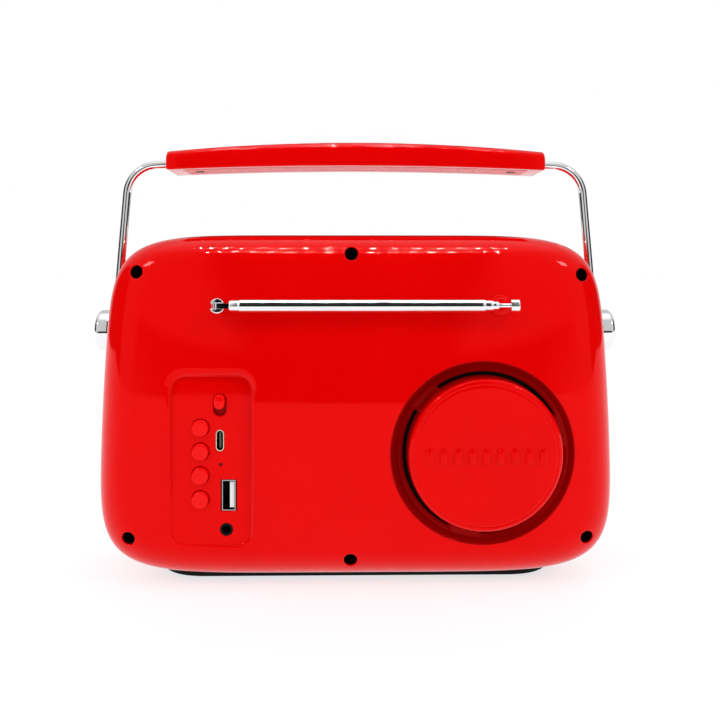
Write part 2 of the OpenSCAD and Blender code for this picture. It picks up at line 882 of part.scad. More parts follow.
module grille_screen() {
    color(black) y_slab(grille_pos, fascia_y + 2.5, fascia_y + 3.3) difference() {
        round_rect(grille_size[0] + 4, grille_size[1] + 4, 14);
        for (x = [-5 : 5], z = [-5 : 5]) translate([x * 8.4, z * 8.4]) circle(2.4);
        for (x = [-1, 1], z = [-1, 1]) {
            translate(speaker_screw_r * cos(45) * [x, z]) circle(3.4);
        }
    }
}

module speaker_basket() {
    color(steel) translate([grille_pos[0], speaker_y, grille_pos[1]]) rotate([-90, 0, 0]) {
        linear_extrude(1.6) difference() {
            round_rect(106, 106, 8);
            circle(speaker_r - 2);
            for (x = [-1, 1], z = [-1, 1]) {
                translate(speaker_screw_r * cos(45) * [x, z]) circle(1.6);
            }
        }
        rotate_extrude() polygon([[speaker_r - 2, 0], [speaker_r, 0], [19, 17], [19, 18.4],
            [14, 18.4], [14, 16.8], [17.6, 16.8]]);
    }
}

module speaker_cone() {
    color(black) translate([grille_pos[0], speaker_y, grille_pos[1]]) rotate([-90, 0, 0])
        rotate_extrude() polygon([[0, 9.4], [6, 10.2], [9.2, 12.4], [35, 2.2], [38.5, 0.4], [39.9, 0.9],
            [39.9, 1.35], [38.5, 0.9], [35.2, 2.9], [9.4, 13.1], [9.4, 18], [8.8, 18], [8.8, 13],
            [5.8, 10.8], [0, 9.9]]);
}

module speaker_magnet() {
    color(steel) translate([grille_pos[0], speaker_y + 18.4, grille_pos[1]]) rotate([-90, 0, 0])
        rotate_extrude() polygon([[0, -2], [7.6, -2], [7.6, 3], [10.4, 3], [10.4, 0], [19, 0],
            [19, 1.5], [24, 1.5], [24, 10], [19.5, 10], [19.5, 12], [0, 12]]);
}

module dial_scale() {
    color(ivory) difference() {
        y_rod(dial_pos, dial_r - 2.2, fascia_y + 0.8, fascia_y + 1.8);
        y_rod(dial_pos, 2, -50, -30);
    }
    color(ivory) y_ring(dial_pos, dial_r + 1, dial_r - 6, fascia_y + 2.5, fascia_y + 3.3);
    color(ivory) y_ring(dial_pos, dial_r - 2.4, dial_r - 6, fascia_y + 1.6, fascia_y + 2.7);
}

module dial_bezel() {
    color(chrome) translate([dial_pos[0], fascia_y, dial_pos[1]]) rotate([90, 0, 0])
        rotate_extrude() polygon([[dial_r - 3.4, 0], [dial_r + 2.5, 0], [dial_r + 2.5, 1.6],
            [dial_r + 1.7, 2.8], [dial_r + 0.4, 3.4], [dial_r - 1, 2.9], [dial_r - 3.4, 1.4]]);
}

module dial_lens() {
    color("lightblue", 0.4) y_rod(dial_pos, dial_r - 3.5, fascia_y - 1.3, fascia_y - 0.1);
}

module dial_pointer() {
    color(red) {
        y_rod(dial_pos, 3, fascia_y + 0.05, fascia_y + 0.65);
        y_rod(dial_pos, 1.6, fascia_y + 0.3, pcb_y - 12);
        block([dial_pos[0] - 0.5, fascia_y + 0.1, dial_pos[1]],
            [dial_pos[0] + 0.5, fascia_y + 0.6, dial_pos[1] + dial_r - 8]);
    }
}

// Grooved wheel on the pointer's shaft, which the tuning knob's shaft turns through a cord
module dial_drum() {
    color(white) difference() {
        union() {
            y_rod(dial_pos, drum_r, drum_y - 1.5, drum_y - 0.5);
            y_rod(dial_pos, groove_r, drum_y - 1.5, drum_y + 1.5);
            y_rod(dial_pos, drum_r, drum_y + 0.5, drum_y + 1.5);
        }
        y_rod(dial_pos, 1.62, -40, -20);
        for (a = [0 : 60 : 300]) y_rod(dial_pos + 10 * [cos(a), sin(a)], 3, -40, -20);
    }
}

// The closed loop that a taut cord makes round the drum and the shaft, out to a distance
module cord_loop(out) {
    hull() {
        translate(dial_pos) circle(groove_r + out);
        translate(tuning_pos) circle(shaft_r + out);
    }
}

module dial_cord() {
    color(ivory) y_slab([0, 0], drum_y - cord_d / 2, drum_y + cord_d / 2) difference() {
        cord_loop(0.2 + cord_d);
        cord_loop(0.2);
    }
}

// A knob on its shaft, with a fluted edge
module control_knob(pos) {
    difference() {
        union() {
            y_rod(pos, knob_r, fascia_y - 14, fascia_y - 1);
            y_rod(pos, knob_r + 1, fascia_y - 3, fascia_y - 0.6);
        }
        for (a = [0 : 15 : 345]) {
            y_rod(pos + (knob_r + 0.5) * [cos(a), sin(a)], 0.9, fascia_y - 15, fascia_y - 4.5);
        }
        block([pos[0] - 0.5, fascia_y - 15, pos[1] + knob_r - 5],
            [pos[0] + 0.5, fascia_y - 13.6, pos[1] + knob_r - 1.5]);
    }
    y_rod(pos, shaft_r, fascia_y - 2, pcb_y - 8.2);
}

module tuning_knob() {
    color(chrome) control_knob(tuning_pos);
}

module volume_knob() {
    color(chrome) control_knob(volume_pos);
}

module main_board() {
    color(green) difference() {
        y_slab([56, 76], pcb_y, pcb_y + board_t) round_rect(74, 122, 3);
        for (p = board_posts) y_rod(p, 1.2, pcb_y - 1, pcb_y + 3);
    }
}

module board_parts() {
    color(black) {
        for (pos = [volume_pos, tuning_pos]) y_slab(pos, pcb_y - 8, pcb_y) square([16, 16], center = true);
        y_slab(dial_pos, pcb_y - 11.8, pcb_y) square([22, 22], center = true);
    }
}

module battery() {
    color("teal") x_rod(battery_pos, battery_r, 24, 89);
}

front_cabinet();
back_shell();
base_plate();
base_pad();
case_screws();
handle_grip();
grip_cover();
grip_screws();
handle_rod(-1);  // handle_rod_left
handle_rod(1);  // handle_rod_right
pivot_bushes();
pivot_studs();
pivot_washers();
pivot_caps();
aerial_swivel();
aerial_screw();
aerial_pin();
aerial_tube_1();
aerial_tube_2();
aerial_tube_3();
aerial_rod();
aerial_tip();
aerial_rest();
push_button(0);  // button_mode
push_button(1);  // button_previous
push_button(2);  // button_play
push_button(3);  // button_next
power_slider();
power_switch();
button_switches();
usb_c_shell();
usb_c_tongue();
usb_a_shell();
usb_a_tongue();
aux_jack();
status_light();
control_board();
inner_screws();
bass_cover();
bass_frame();
bass_surround();
bass_diaphragm();
bass_screws();
front_fascia();
front_grille();
grille_screen();
speaker_basket();
speaker_cone();
speaker_magnet();
dial_scale();
dial_bezel();
dial_lens();
dial_pointer();
dial_drum();
dial_cord();
tuning_knob();
volume_knob();
main_board();
board_parts();
battery();
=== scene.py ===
"""A red portable radio, seen from behind: the visible surfaces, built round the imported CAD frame.

Lengths are written in millimetres and scaled to metres when a mesh is made.
The back faces +Y, the front faces -Y, and +Z is up.
"""
import math

import bmesh
import bpy
import numpy as np
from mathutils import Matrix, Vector
from mathutils.geometry import delaunay_2d_cdt
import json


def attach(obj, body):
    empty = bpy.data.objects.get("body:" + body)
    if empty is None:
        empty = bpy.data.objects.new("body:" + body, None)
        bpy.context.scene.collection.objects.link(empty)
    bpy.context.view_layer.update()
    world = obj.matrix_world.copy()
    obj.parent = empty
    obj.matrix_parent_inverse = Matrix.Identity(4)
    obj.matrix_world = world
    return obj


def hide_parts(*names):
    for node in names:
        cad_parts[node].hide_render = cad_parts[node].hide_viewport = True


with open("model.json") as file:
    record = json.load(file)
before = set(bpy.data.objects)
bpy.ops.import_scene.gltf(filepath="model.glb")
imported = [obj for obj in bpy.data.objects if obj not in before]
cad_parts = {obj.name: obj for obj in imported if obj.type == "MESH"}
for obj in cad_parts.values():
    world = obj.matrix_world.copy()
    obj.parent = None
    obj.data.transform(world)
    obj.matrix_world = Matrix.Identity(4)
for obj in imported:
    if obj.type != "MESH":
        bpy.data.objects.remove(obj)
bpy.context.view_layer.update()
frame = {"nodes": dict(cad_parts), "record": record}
MM = 0.001
TAU = 2 * math.pi
# how far away, in millimetres, the point is that an open sheet faces
FAR = 400

# ---- materials


def feed(tree, socket, value):
    """Links a node's output to a socket, or sets the socket to a plain value."""
    if isinstance(value, bpy.types.NodeSocket):
        tree.links.new(value, socket)
    else:
        socket.default_value = value


def add(tree, kind, **inputs):
    """A new node with some of its inputs set or linked."""
    node = tree.nodes.new(kind)
    for key, value in inputs.items():
        feed(tree, node.inputs[key.replace("_", " ")], value)
    return node


def colour_mix(tree, factor, low, high, blend="MIX"):
    node = tree.nodes.new("ShaderNodeMix")
    node.data_type, node.blend_type = "RGBA", blend
    for key, value in (("Factor", factor), ("A", low), ("B", high)):
        feed(tree, node.inputs[key], value)
    return node.outputs["Result"]


def noise(tree, scale, detail=3.0, stretch=None):
    """A noise texture in object coordinates, drawn out along an axis by stretch."""
    place = tree.nodes.new("ShaderNodeTexCoord").outputs["Object"]
    if stretch:
        place = add(tree, "ShaderNodeMapping", Vector=place, Scale=stretch).outputs["Vector"]
    return add(tree, "ShaderNodeTexNoise", Vector=place, Scale=scale, Detail=detail).outputs["Fac"]


def spread(tree, source, low, high, start=0.3, end=0.7):
    """Maps a value in start..end, which holds most of a noise texture, onto low..high."""
    node = add(tree, "ShaderNodeMapRange", Value=source, From_Min=start, From_Max=end, To_Min=low,
               To_Max=high)
    return node.outputs["Result"]


def surface(name, dark, light, rough, metal=0.0, tone_scale=30.0, grain=900.0, grain_depth=0.0,
            wave=0.0, wave_scale=60.0, stretch=None, **shader):
    """A moulded or plated finish: two close tones, uneven roughness, a fine grain and a slow waviness."""
    mat = bpy.data.materials.new(name)
    mat.use_nodes = True
    tree = mat.node_tree
    bsdf = tree.nodes["Principled BSDF"]
    tone = spread(tree, noise(tree, tone_scale, 4.0), 0, 1)
    feed(tree, bsdf.inputs["Base Color"], colour_mix(tree, tone, (*dark, 1), (*light, 1)))
    feed(tree, bsdf.inputs["Roughness"], spread(tree, noise(tree, tone_scale * 7, 5.0, stretch), *rough))
    normal = {}
    for depth, scale, along in ((grain_depth, grain, stretch), (wave, wave_scale, None)):
        if depth:
            bump = add(tree, "ShaderNodeBump", Strength=1.0, Distance=depth * MM,
                       Height=noise(tree, scale, 2.0, along), **normal)
            normal = {"Normal": bump.outputs["Normal"]}
    for key, value in {"Metallic": metal, **normal, **shader}.items():
        feed(tree, bsdf.inputs[key.replace("_", " ")], value)
    return mat


RED_DARK, RED_LIGHT = (0.71, 0.0005, 0.0005), (0.75, 0.0009, 0.0009)
RED_SHEEN = (1.0, 0.06, 0.06, 1)
red_mat = surface("red_gloss", RED_DARK, RED_LIGHT, (0.03, 0.055), grain=1400.0, grain_depth=0.003,
                  wave=0.008, wave_scale=55.0, Specular_IOR_Level=1.0, Specular_Tint=RED_SHEEN)
red_satin_mat = surface("red_satin", RED_DARK, RED_LIGHT, (0.26, 0.36), grain=2600.0, grain_depth=0.012,
                        Specular_IOR_Level=0.25)
key_mat = surface("red_keys", (0.82, 0.0012, 0.0012), (0.86, 0.002, 0.002), (0.08, 0.12), grain=1800.0,
                  grain_depth=0.003, Specular_IOR_Level=0.9, Specular_Tint=(1.0, 0.16, 0.16, 1))
# painted shade: this darker red stands in for the shade in the bass dish and under the slider cap
painted_shade_red_mat = surface("red_painted_shade", (0.26, 0.0005, 0.0005), (0.30, 0.0008, 0.0008), (0.10, 0.15), grain=1400.0,
                   grain_depth=0.003, Specular_IOR_Level=0.7, Specular_Tint=RED_SHEEN)
# painted shade: a near-black red for the walls and floors of the screw wells
painted_well_shade_mat = surface("red_painted_well_shade", (0.03, 0.0004, 0.0004), (0.045, 0.0006, 0.0006), (0.4, 0.5), grain=1400.0,
                    grain_depth=0.004, Specular_IOR_Level=0.1)
chrome_mat = surface("chrome_plate", (0.84, 0.845, 0.85), (0.90, 0.90, 0.905), (0.03, 0.075), metal=1.0,
                     tone_scale=45.0, wave=0.004, wave_scale=120.0)
satin_metal_mat = surface("satin_metal", (0.62, 0.62, 0.63), (0.74, 0.74, 0.74), (0.22, 0.34), metal=1.0,
                          grain=700.0, grain_depth=0.004, stretch=(1, 1, 9))
steel_mat = surface("zinc_steel", (0.44, 0.45, 0.46), (0.58, 0.58, 0.58), (0.28, 0.46), metal=1.0,
                    tone_scale=120.0, grain=1500.0, grain_depth=0.01)
screw_mat = surface("black_oxide", (0.006, 0.006, 0.006), (0.014, 0.014, 0.014), (0.32, 0.5), metal=0.2,
                    tone_scale=200.0, grain=2500.0, grain_depth=0.01, Specular_IOR_Level=0.15)
black_mat = surface("black_moulding", (0.004, 0.004, 0.004), (0.008, 0.008, 0.008), (0.34, 0.5),
                    grain=2200.0, grain_depth=0.02, Specular_IOR_Level=0.08)
tongue_mat = surface("grey_tongue", (0.10, 0.10, 0.10), (0.14, 0.14, 0.14), (0.34, 0.5), grain=2200.0,
                     grain_depth=0.01, Specular_IOR_Level=0.1)
rubber_mat = surface("black_rubber", (0.005, 0.005, 0.005), (0.010, 0.010, 0.010), (0.62, 0.8),
                     tone_scale=60.0, grain=1500.0, grain_depth=0.04, Specular_IOR_Level=0.12)
white_mat = surface("white_moulding", (0.80, 0.80, 0.77), (0.88, 0.88, 0.86), (0.3, 0.42),
                    grain=1800.0, grain_depth=0.01)
cream_mat = surface("cream_enamel", (0.74, 0.67, 0.50), (0.80, 0.74, 0.58), (0.16, 0.26),
                    grain=1300.0, grain_depth=0.008, wave=0.01, Coat_Weight=0.3, Coat_Roughness=0.08)
mesh_mat = surface("black_sheet", (0.012, 0.012, 0.012), (0.03, 0.03, 0.03), (0.4, 0.55), metal=0.4,
                   grain=2600.0, grain_depth=0.02)
cone_mat = surface("paper_cone", (0.018, 0.018, 0.018), (0.045, 0.043, 0.04), (0.75, 0.95),
                   tone_scale=160.0, grain=1900.0, grain_depth=0.08)
board_mat = surface("solder_mask", (0.012, 0.12, 0.045), (0.02, 0.19, 0.075), (0.25, 0.4),
                    tone_scale=220.0, grain=1200.0, grain_depth=0.02)
thread_mat = surface("waxed_thread", (0.55, 0.48, 0.33), (0.74, 0.68, 0.52), (0.6, 0.8),
                     tone_scale=400.0, grain=2800.0, grain_depth=0.06)
sleeve_mat = surface("shrink_sleeve", (0.02, 0.14, 0.26), (0.03, 0.2, 0.34), (0.18, 0.3),
                     grain=1000.0, grain_depth=0.01)
ink_mat = surface("dial_ink", (0.012, 0.011, 0.01), (0.03, 0.028, 0.026), (0.4, 0.6), tone_scale=300.0)


def socket_material(name, metal, mouth):
    """Plated at a socket's mouth, in front of the depth given in metres, and black behind it, which is
    painted shade deep in the socket.
    """
    mat = surface(name, metal, metal, (0.12, 0.2), metal=1.0, tone_scale=200.0, grain=1500.0,
                  grain_depth=0.003)
    tree = mat.node_tree
    colour = tree.nodes["Principled BSDF"].inputs["Base Color"]
    place = tree.nodes.new("ShaderNodeTexCoord").outputs["Object"]
    depth = add(tree, "ShaderNodeSeparateXYZ", Vector=place).outputs["Y"]
    share = spread(tree, depth, 0.0, 1.0, mouth - 0.0002, mouth)
    # painted shade: the plating turns black deeper than the mouth
    feed(tree, colour, colour_mix(tree, share, (0.004, 0.004, 0.004, 1), colour.links[0].from_socket))
    return mat


socket_a_mat = socket_material("socket_plate", (0.50, 0.48, 0.48), 0.0386)
socket_c_mat = socket_material("socket_gilt", (0.78, 0.62, 0.42), 0.0392)
lens_mat = surface("clear_lens", (0.9409, 0.9555, 0.9506), (0.97, 0.985, 0.98), (0.01, 0.05), tone_scale=80.0,
                   Transmission_Weight=1.0, IOR=1.49)
light_mat = surface("light_guide", (0.10, 0.0, 0.0), (0.16, 0.004, 0.004), (0.08, 0.16), tone_scale=500.0,
                    Specular_IOR_Level=0.1)

SLOT_MATERIALS = {
    "red_shell": red_mat, "chrome": chrome_mat, "steel": steel_mat, "black_screw": screw_mat,
    "black_plastic": black_mat, "black_rubber": rubber_mat, "white_plastic": white_mat,
    "cream_panel": cream_mat, "black_mesh": mesh_mat, "black_cone": cone_mat, "clear_lens": lens_mat,
    "clear_light": light_mat, "circuit_board": board_mat, "thread": thread_mat,
    "battery_sleeve": sleeve_mat,
}

# ---- mesh helpers


def turn_faces(mesh, toward, away):
    """Makes all faces agree. An open sheet faces a point, or faces away from one."""
    work = bmesh.new()
    work.from_mesh(mesh)
    bmesh.ops.recalc_face_normals(work, faces=work.faces)
    point = toward or away
    if point:
        place = Vector(point) * MM
        facing = sum(f.calc_area() * f.normal.dot((place - f.calc_center_median()).normalized())
                     for f in work.faces)
        if (facing < 0) == bool(toward):
            bmesh.ops.reverse_faces(work, faces=work.faces)
    work.to_mesh(mesh)
    work.free()


def piece(name, verts, faces, mat, body, slot, replaces=(), sharp=40.0, normals=None, toward=None, away=None):
    """Makes a piece from points in millimetres, rides it on its body and gives it its material.
    normals maps a point's index to its known normal; the others follow the mesh."""
    mesh = bpy.data.meshes.new(name)
    mesh.from_pydata([tuple(c * MM for c in v) for v in verts], [], [tuple(f) for f in faces])
    mesh.validate()
    turn_faces(mesh, toward, away)
    mesh.polygons.foreach_set("use_smooth", [True] * len(mesh.polygons))
    if sharp:
        mesh.set_sharp_from_angle(angle=math.radians(sharp))
    if normals is not None:
        found = [n.vector.copy() for n in mesh.vertex_normals]
        for i, n in normals.items():
            found[i] = Vector(n)
        mesh.normals_split_custom_set_from_vertices(found)
    mesh.materials.append(mat)
    obj = bpy.data.objects.new(name, mesh)
    bpy.context.scene.collection.objects.link(obj)
    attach(obj, body)
    if replaces:
        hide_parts(*replaces)


def quarter(steps, first=0):
    """The sine, and one less the cosine, at even steps over a quarter turn."""
    angles = [math.pi / 2 * k / steps for k in range(first, steps + 1)]
    return [(math.sin(a), 1 - math.cos(a)) for a in angles]


class Build:
    """Collects points and faces, then makes one piece."""

    def __init__(self):
        self.verts, self.faces, self.normals = [], [], {}

    def points(self, new):
        start = len(self.verts)
        self.verts.extend(tuple(p) for p in new)
        return list(range(start, len(self.verts)))

    def bridge(self, a, b, closed=True):
        """Quads between two rows of point indices of equal length."""
        n = len(a)
        for i in range(n if closed else n - 1):
            k = (i + 1) % n
            self.faces.append((a[i], a[k], b[k], b[i]))

    def rows(self, rings, closed=True, cap_start=False, cap_end=False):
        """Joins rings of points one after another, with a flat cap at either end if wanted."""
        indices = [self.points(r) for r in rings]
        for a, b in zip(indices, indices[1:]):
            self.bridge(a, b, closed)
        for wanted, ring, order in ((cap_start, indices[0], -1), (cap_end, indices[-1], 1)):
            if wanted:
                middle = self.points([np.mean([self.verts[i] for i in ring], axis=0)])[0]
                loop = ring[::order]
                for i in range(len(loop)):
                    self.faces.append((loop[i], loop[(i + 1) % len(loop)], middle))
        return indices

    def sheet(self, border, holes, extra, margin, lift, edge=()):
        """Fills a flat border with triangles, all but its holes, and lifts it into place.
        edge holds the border's point indices if it is there already.
        Gives the flat points, their indices, and the indices round each hole."""
        points, triangles = triangulate(border, holes, extra, margin)
        index = [*edge, *self.points(lift(points[len(edge):]))]
        self.faces.extend((index[a], index[c], index[b]) for a, b, c in triangles)
        rims, offset = [], len(border)
        for hole in holes:
            rims.append(index[offset:offset + len(hole)])
            offset += len(hole)
        return points, index, rims

    def make(self, name, mat, body, slot, **options):
        piece(name, self.verts, self.faces, mat, body, slot, normals=self.normals or None, **options)


def rounded(points, steps=4, closed=False):
    """A polyline (u, v, radius) with each corner of some radius turned into an arc."""
    result, n = [], len(points)
    for i, (u, v, *more) in enumerate(points):
        radius = more[0] if more else 0
        if not radius or (not closed and i in (0, n - 1)):
            result.append((u, v))
            continue
        p, a, b = (Vector(points[j % n][:2]) for j in (i, i - 1, i + 1))
        to_a, to_b = (a - p).normalized(), (b - p).normalized()
        half = to_a.angle(to_b) / 2
        leg = min(radius / math.tan(half), (a - p).length * 0.49, (b - p).length * 0.49)
        radius = leg * math.tan(half)
        centre = p + (to_a + to_b).normalized() * (radius / math.sin(half))
        first, last = p + to_a * leg - centre, p + to_b * leg - centre
        for k in range(steps + 1):
            arm = first.slerp(last, k / steps, first).normalized()
            result.append(tuple(centre + arm * radius))
    return result


def axis_point(origin, axis, r, h, angle):
    """A point at radius r and distance h along an axis through origin."""
    c, s = r * math.cos(angle), r * math.sin(angle)
    x, y, z = origin
    sign = -1 if axis[0] == "-" else 1
    return {"x": (x + sign * h, y + c, z + sign * s), "y": (x + sign * s, y + sign * h, z + c),
            "z": (x + c, y + sign * s, z + sign * h)}[axis[-1]]


def lathe(build, origin, axis, profile, n=64, ripple=None):
    """Turns a profile of (r, h) points about an axis. A point at r 0 becomes a pole."""
    previous = None
    for j, (r, h) in enumerate(profile):
        if r < 1e-6:
            ring = build.points([axis_point(origin, axis, 0, h, 0)]) * n
        else:
            ring = build.points(axis_point(origin, axis, r + (ripple(j, TAU * i / n) if ripple else 0), h,
                                           TAU * i / n) for i in range(n))
        if previous:
            for i in range(n):
                k = (i + 1) % n
                corners = [previous[i], previous[k], ring[k], ring[i]]
                face = [c for m, c in enumerate(corners) if c not in corners[:m]]
                if len(face) > 2:
                    build.faces.append(tuple(face))
        previous = ring


def turned(name, origin, axis, profile, mat, body, slot, n=64, **options):
    build = Build()
    lathe(build, origin, axis, profile, n)
    build.make(name, mat, body, slot, **options)


def circle_loop(x, z, r, n):
    return [(x + r * math.cos(TAU * i / n), z + r * math.sin(TAU * i / n)) for i in range(n)]


def round_rect_loop(x, z, w, h, r, corner=8, side=8):
    """A rectangle with round corners, counter-clockwise from the right side's foot, as (x, z)."""
    loop = []
    corners = [(x + w / 2 - r, z + h / 2 - r, 0), (x - w / 2 + r, z + h / 2 - r, 1),
               (x - w / 2 + r, z - h / 2 + r, 2), (x + w / 2 - r, z - h / 2 + r, 3)]
    for m, (cx, cz, q) in enumerate(corners):
        arc = [(cx + r * math.cos(math.pi / 2 * (q + k / corner)),
                cz + r * math.sin(math.pi / 2 * (q + k / corner))) for k in range(corner + 1)]
        loop.extend(arc)
        nx, nz, nq = corners[(m + 1) % 4]
        end = (nx + r * math.cos(math.pi / 2 * nq), nz + r * math.sin(math.pi / 2 * nq))
        for k in range(1, side):
            t = k / side
            loop.append((arc[-1][0] * (1 - t) + end[0] * t, arc[-1][1] * (1 - t) + end[1] * t))
    return loop


def inside_loop(points, loop, margin=0.0):
    """Which points lie in a loop's polygon, or within margin of its line."""
    pts, a = np.asarray(points, float), np.asarray(loop, float)
    b = np.roll(a, -1, axis=0)
    found = np.zeros(len(pts), bool)
    near = np.full(len(pts), 1e9)
    for (ax, az), (bx, bz) in zip(a, b):
        crosses = (az > pts[:, 1]) != (bz > pts[:, 1])
        t = (pts[:, 1] - az) / ((bz - az) or 1e-12)
        found ^= crosses & (pts[:, 0] < ax + t * (bx - ax))
        d = np.array([bx - ax, bz - az])
        share = np.clip(((pts - (ax, az)) @ d) / max(d @ d, 1e-12), 0, 1)
        near = np.minimum(near, np.hypot(*(pts - (ax, az) - share[:, None] * d).T))
    return found | (near < margin) if margin else found


def triangulate(border, holes, extra, margin):
    """Triangles inside border and outside holes, and their points: border, holes, then the extra ones
    that keep a margin from the holes."""
    extra = np.asarray(extra, float)
    for hole in holes:
        extra = extra[~inside_loop(extra, hole, margin)]
    points, edges = [], []
    for loop in (border, *holes):
        start = len(points)
        points.extend(tuple(p) for p in loop)
        edges.extend((start + i, start + (i + 1) % len(loop)) for i in range(len(loop)))
    points.extend(tuple(p) for p in extra)
    out, _, faces, origin, _, _ = delaunay_2d_cdt([Vector(p) for p in points], edges, [], 1, 1e-6)
    centres = np.array([np.mean([out[i] for i in f], axis=0) for f in faces])
    in_hole = np.any([inside_loop(centres, hole) for hole in holes], axis=0)
    return points, [tuple(origin[i][0] for i in f) for f, hidden in zip(faces, in_hole) if not hidden]


# ---- the cabinet's form

HALF_W, HALF_H, TAPER, CROWN = 113.7, 75.7, 3.6, 2.5
MID_Z, SEAM_Y, EDGE_IN, EDGE_RISE, RIM_POWER = 79.7, 24.0, 16.0, 15.0, 2 / 2.3
CORNER_TOP, CORNER_LOW, DOME_H = 7.2, 6.3, 7.0
# how far the outline is shrunk at the bottom of the seam's groove
SEAM_IN = 0.55
OUTLINE_N = 256


def outline(inset, n=OUTLINE_N):
    """The cabinet's outline shrunk by inset, counter-clockwise seen from the front, as an array of (x, z)."""
    a = TAU * (np.arange(n) + 0.5) / n
    c = np.sign(np.cos(a)) * np.abs(np.cos(a)) ** 0.6
    s = np.sign(np.sin(a)) * np.abs(np.sin(a)) ** 0.6
    power = np.where(s > 0, CORNER_TOP, CORNER_LOW)
    r = (np.abs(c) ** power + np.abs(s) ** power) ** (-1 / power)
    v = s * r
    return np.stack([(HALF_W - inset - TAPER * v - CROWN * v * v) * c * r, MID_Z + (HALF_H - inset) * v], 1)


def level(inset, y):
    """The outline shrunk by inset, at a depth y."""
    return [(x, y, z) for x, z in outline(inset)]


def dome(x, z):
    return DOME_H * np.maximum(0, 1 - (x / HALF_W) ** 2) * np.maximum(0, 1 - ((z - MID_Z) / HALF_H) ** 2)


def inset_at(x, z):
    """How far inside the outline a point is, by bisection."""
    low, high = np.zeros_like(x), np.full_like(x, HALF_H - 1)
    for _ in range(40):
        mid = (low + high) / 2
        v = (z - MID_Z) / (HALF_H - mid)
        u = x / (HALF_W - mid - TAPER * v - CROWN * v * v)
        power = np.where(v > 0, CORNER_TOP, CORNER_LOW)
        outside = np.abs(u) ** power + np.abs(v) ** power > 1
        high, low = np.where(outside, mid, high), np.where(outside, low, mid)
    return low


def back_y(points):
    """The back's height over a set of (x, z) points."""
    x, z = np.asarray(points, float).T
    inset = np.minimum(inset_at(x, z), EDGE_IN)
    cos_a = np.clip(1 - inset / EDGE_IN, 0, 1) ** (1 / RIM_POWER)
    sin_a = np.sqrt(np.clip(1 - cos_a ** 2, 0, 1))
    return SEAM_Y + EDGE_RISE * sin_a ** RIM_POWER + dome(x, z)


def back_normals(points):
    p, step = np.asarray(points, float), 0.15
    dx = (back_y(p + (step, 0)) - back_y(p - (step, 0))) / (2 * step)
    dz = (back_y(p + (0, step)) - back_y(p - (0, step))) / (2 * step)
    n = np.stack([-dx, np.ones(len(p)), -dz], 1)
    return n / np.linalg.norm(n, axis=1)[:, None]


def grow(loop, amount):
    """Moves a counter-clockwise loop outward by amount."""
    a = np.asarray(loop, float)
    along = np.roll(a, -1, axis=0) - np.roll(a, 1, axis=0)
    along /= np.linalg.norm(along, axis=1)[:, None]
    return a + amount * np.stack([along[:, 1], -along[:, 0]], 1)


# ---- back shell

CASE_POSTS = [(2.4, 146.7), (96, 138.8), (-99, 137.6), (99.2, 23.2), (-100.8, 22.6), (2.8, 13.8)]
WELL_R, WELL_FLOOR, WELL_EDGE, WELL_N = 2.9, 26.2, 0.45, 40
PANEL = (62.9, 57.2, 34.4, 73.0, 6.0)
PANEL_Y = 40.0
BASS_X, BASS_Z, DISH_Y, DISH_R = -55.3, 59.9, 38.0, 37.5
DISH_SLOPE = 4.0 / 9.5
STRIP_INSET = 3.0

panel_loop = np.array(round_rect_loop(*PANEL[:4], PANEL[4], corner=10, side=16))


def ease(value, start, end):
    t = np.clip((value - start) / (end - start), 0, 1)
    return t * t * (3 - 2 * t)


# the pocket's lip is rolled over, widest along its top and narrowest at its foot
panel_edge = 1.7 + 2.5 * ease(panel_loop[:, 1], 82.0, 92.5) - 0.6 * ease(-panel_loop[:, 1], -34.0, -22.0)
panel_edge = panel_edge[:, None]
RIM_EDGE, RIM_N, COVER_N = 0.7, 144, 128
bass_angles = TAU * np.arange(RIM_N) / RIM_N


def bass_ring(r, y=None, angles=bass_angles):
    """A circle about the bass outlet's axis: (x, z) points, or (x, y, z) ones where y is given."""
    x, z = BASS_X + r * np.cos(angles), BASS_Z + r * np.sin(angles)
    return np.stack([x, z] if y is None else [x, np.broadcast_to(y, x.shape), z], 1)


# where the dish's flared wall meets the domed back
rim = np.full(RIM_N, DISH_R + 2)
for _ in range(30):
    rim = DISH_R + DISH_SLOPE * (back_y(bass_ring(rim)) - DISH_Y)


def back_mesh_points():
    """Points to mesh the back with: rings that follow the outline and the openings, and a grid."""
    extra = [p for inset in (3.8, 4.7, 5.8, 7.0, 8.4, 9.9, 11.5, 13.2, 15.0, 16.6)
             for p in outline(inset, 216)]
    step = 3.0
    grid = np.array([(x + (step / 2 if row % 2 else 0), z)
                     for row, z in enumerate(np.arange(10, 150, step * 0.87))
                     for x in np.arange(-110, 110, step)])
    extra.extend(grid[inset_at(grid[:, 0], grid[:, 1]) > EDGE_IN + 2])
    for ring, count in ((0.5, 40), (1.3, 32), (2.6, 28)):
        for x, z in CASE_POSTS:
            extra.extend(circle_loop(x, z, WELL_R + WELL_EDGE + ring, count))
    for out in (0.7, 1.8, 3.2):
        extra.extend(grow(panel_loop, panel_edge + out))
        extra.extend(bass_ring(rim + RIM_EDGE + out))
    extra = np.array(extra)
    return extra[inset_at(extra[:, 0], extra[:, 1]) > STRIP_INSET + 0.5]


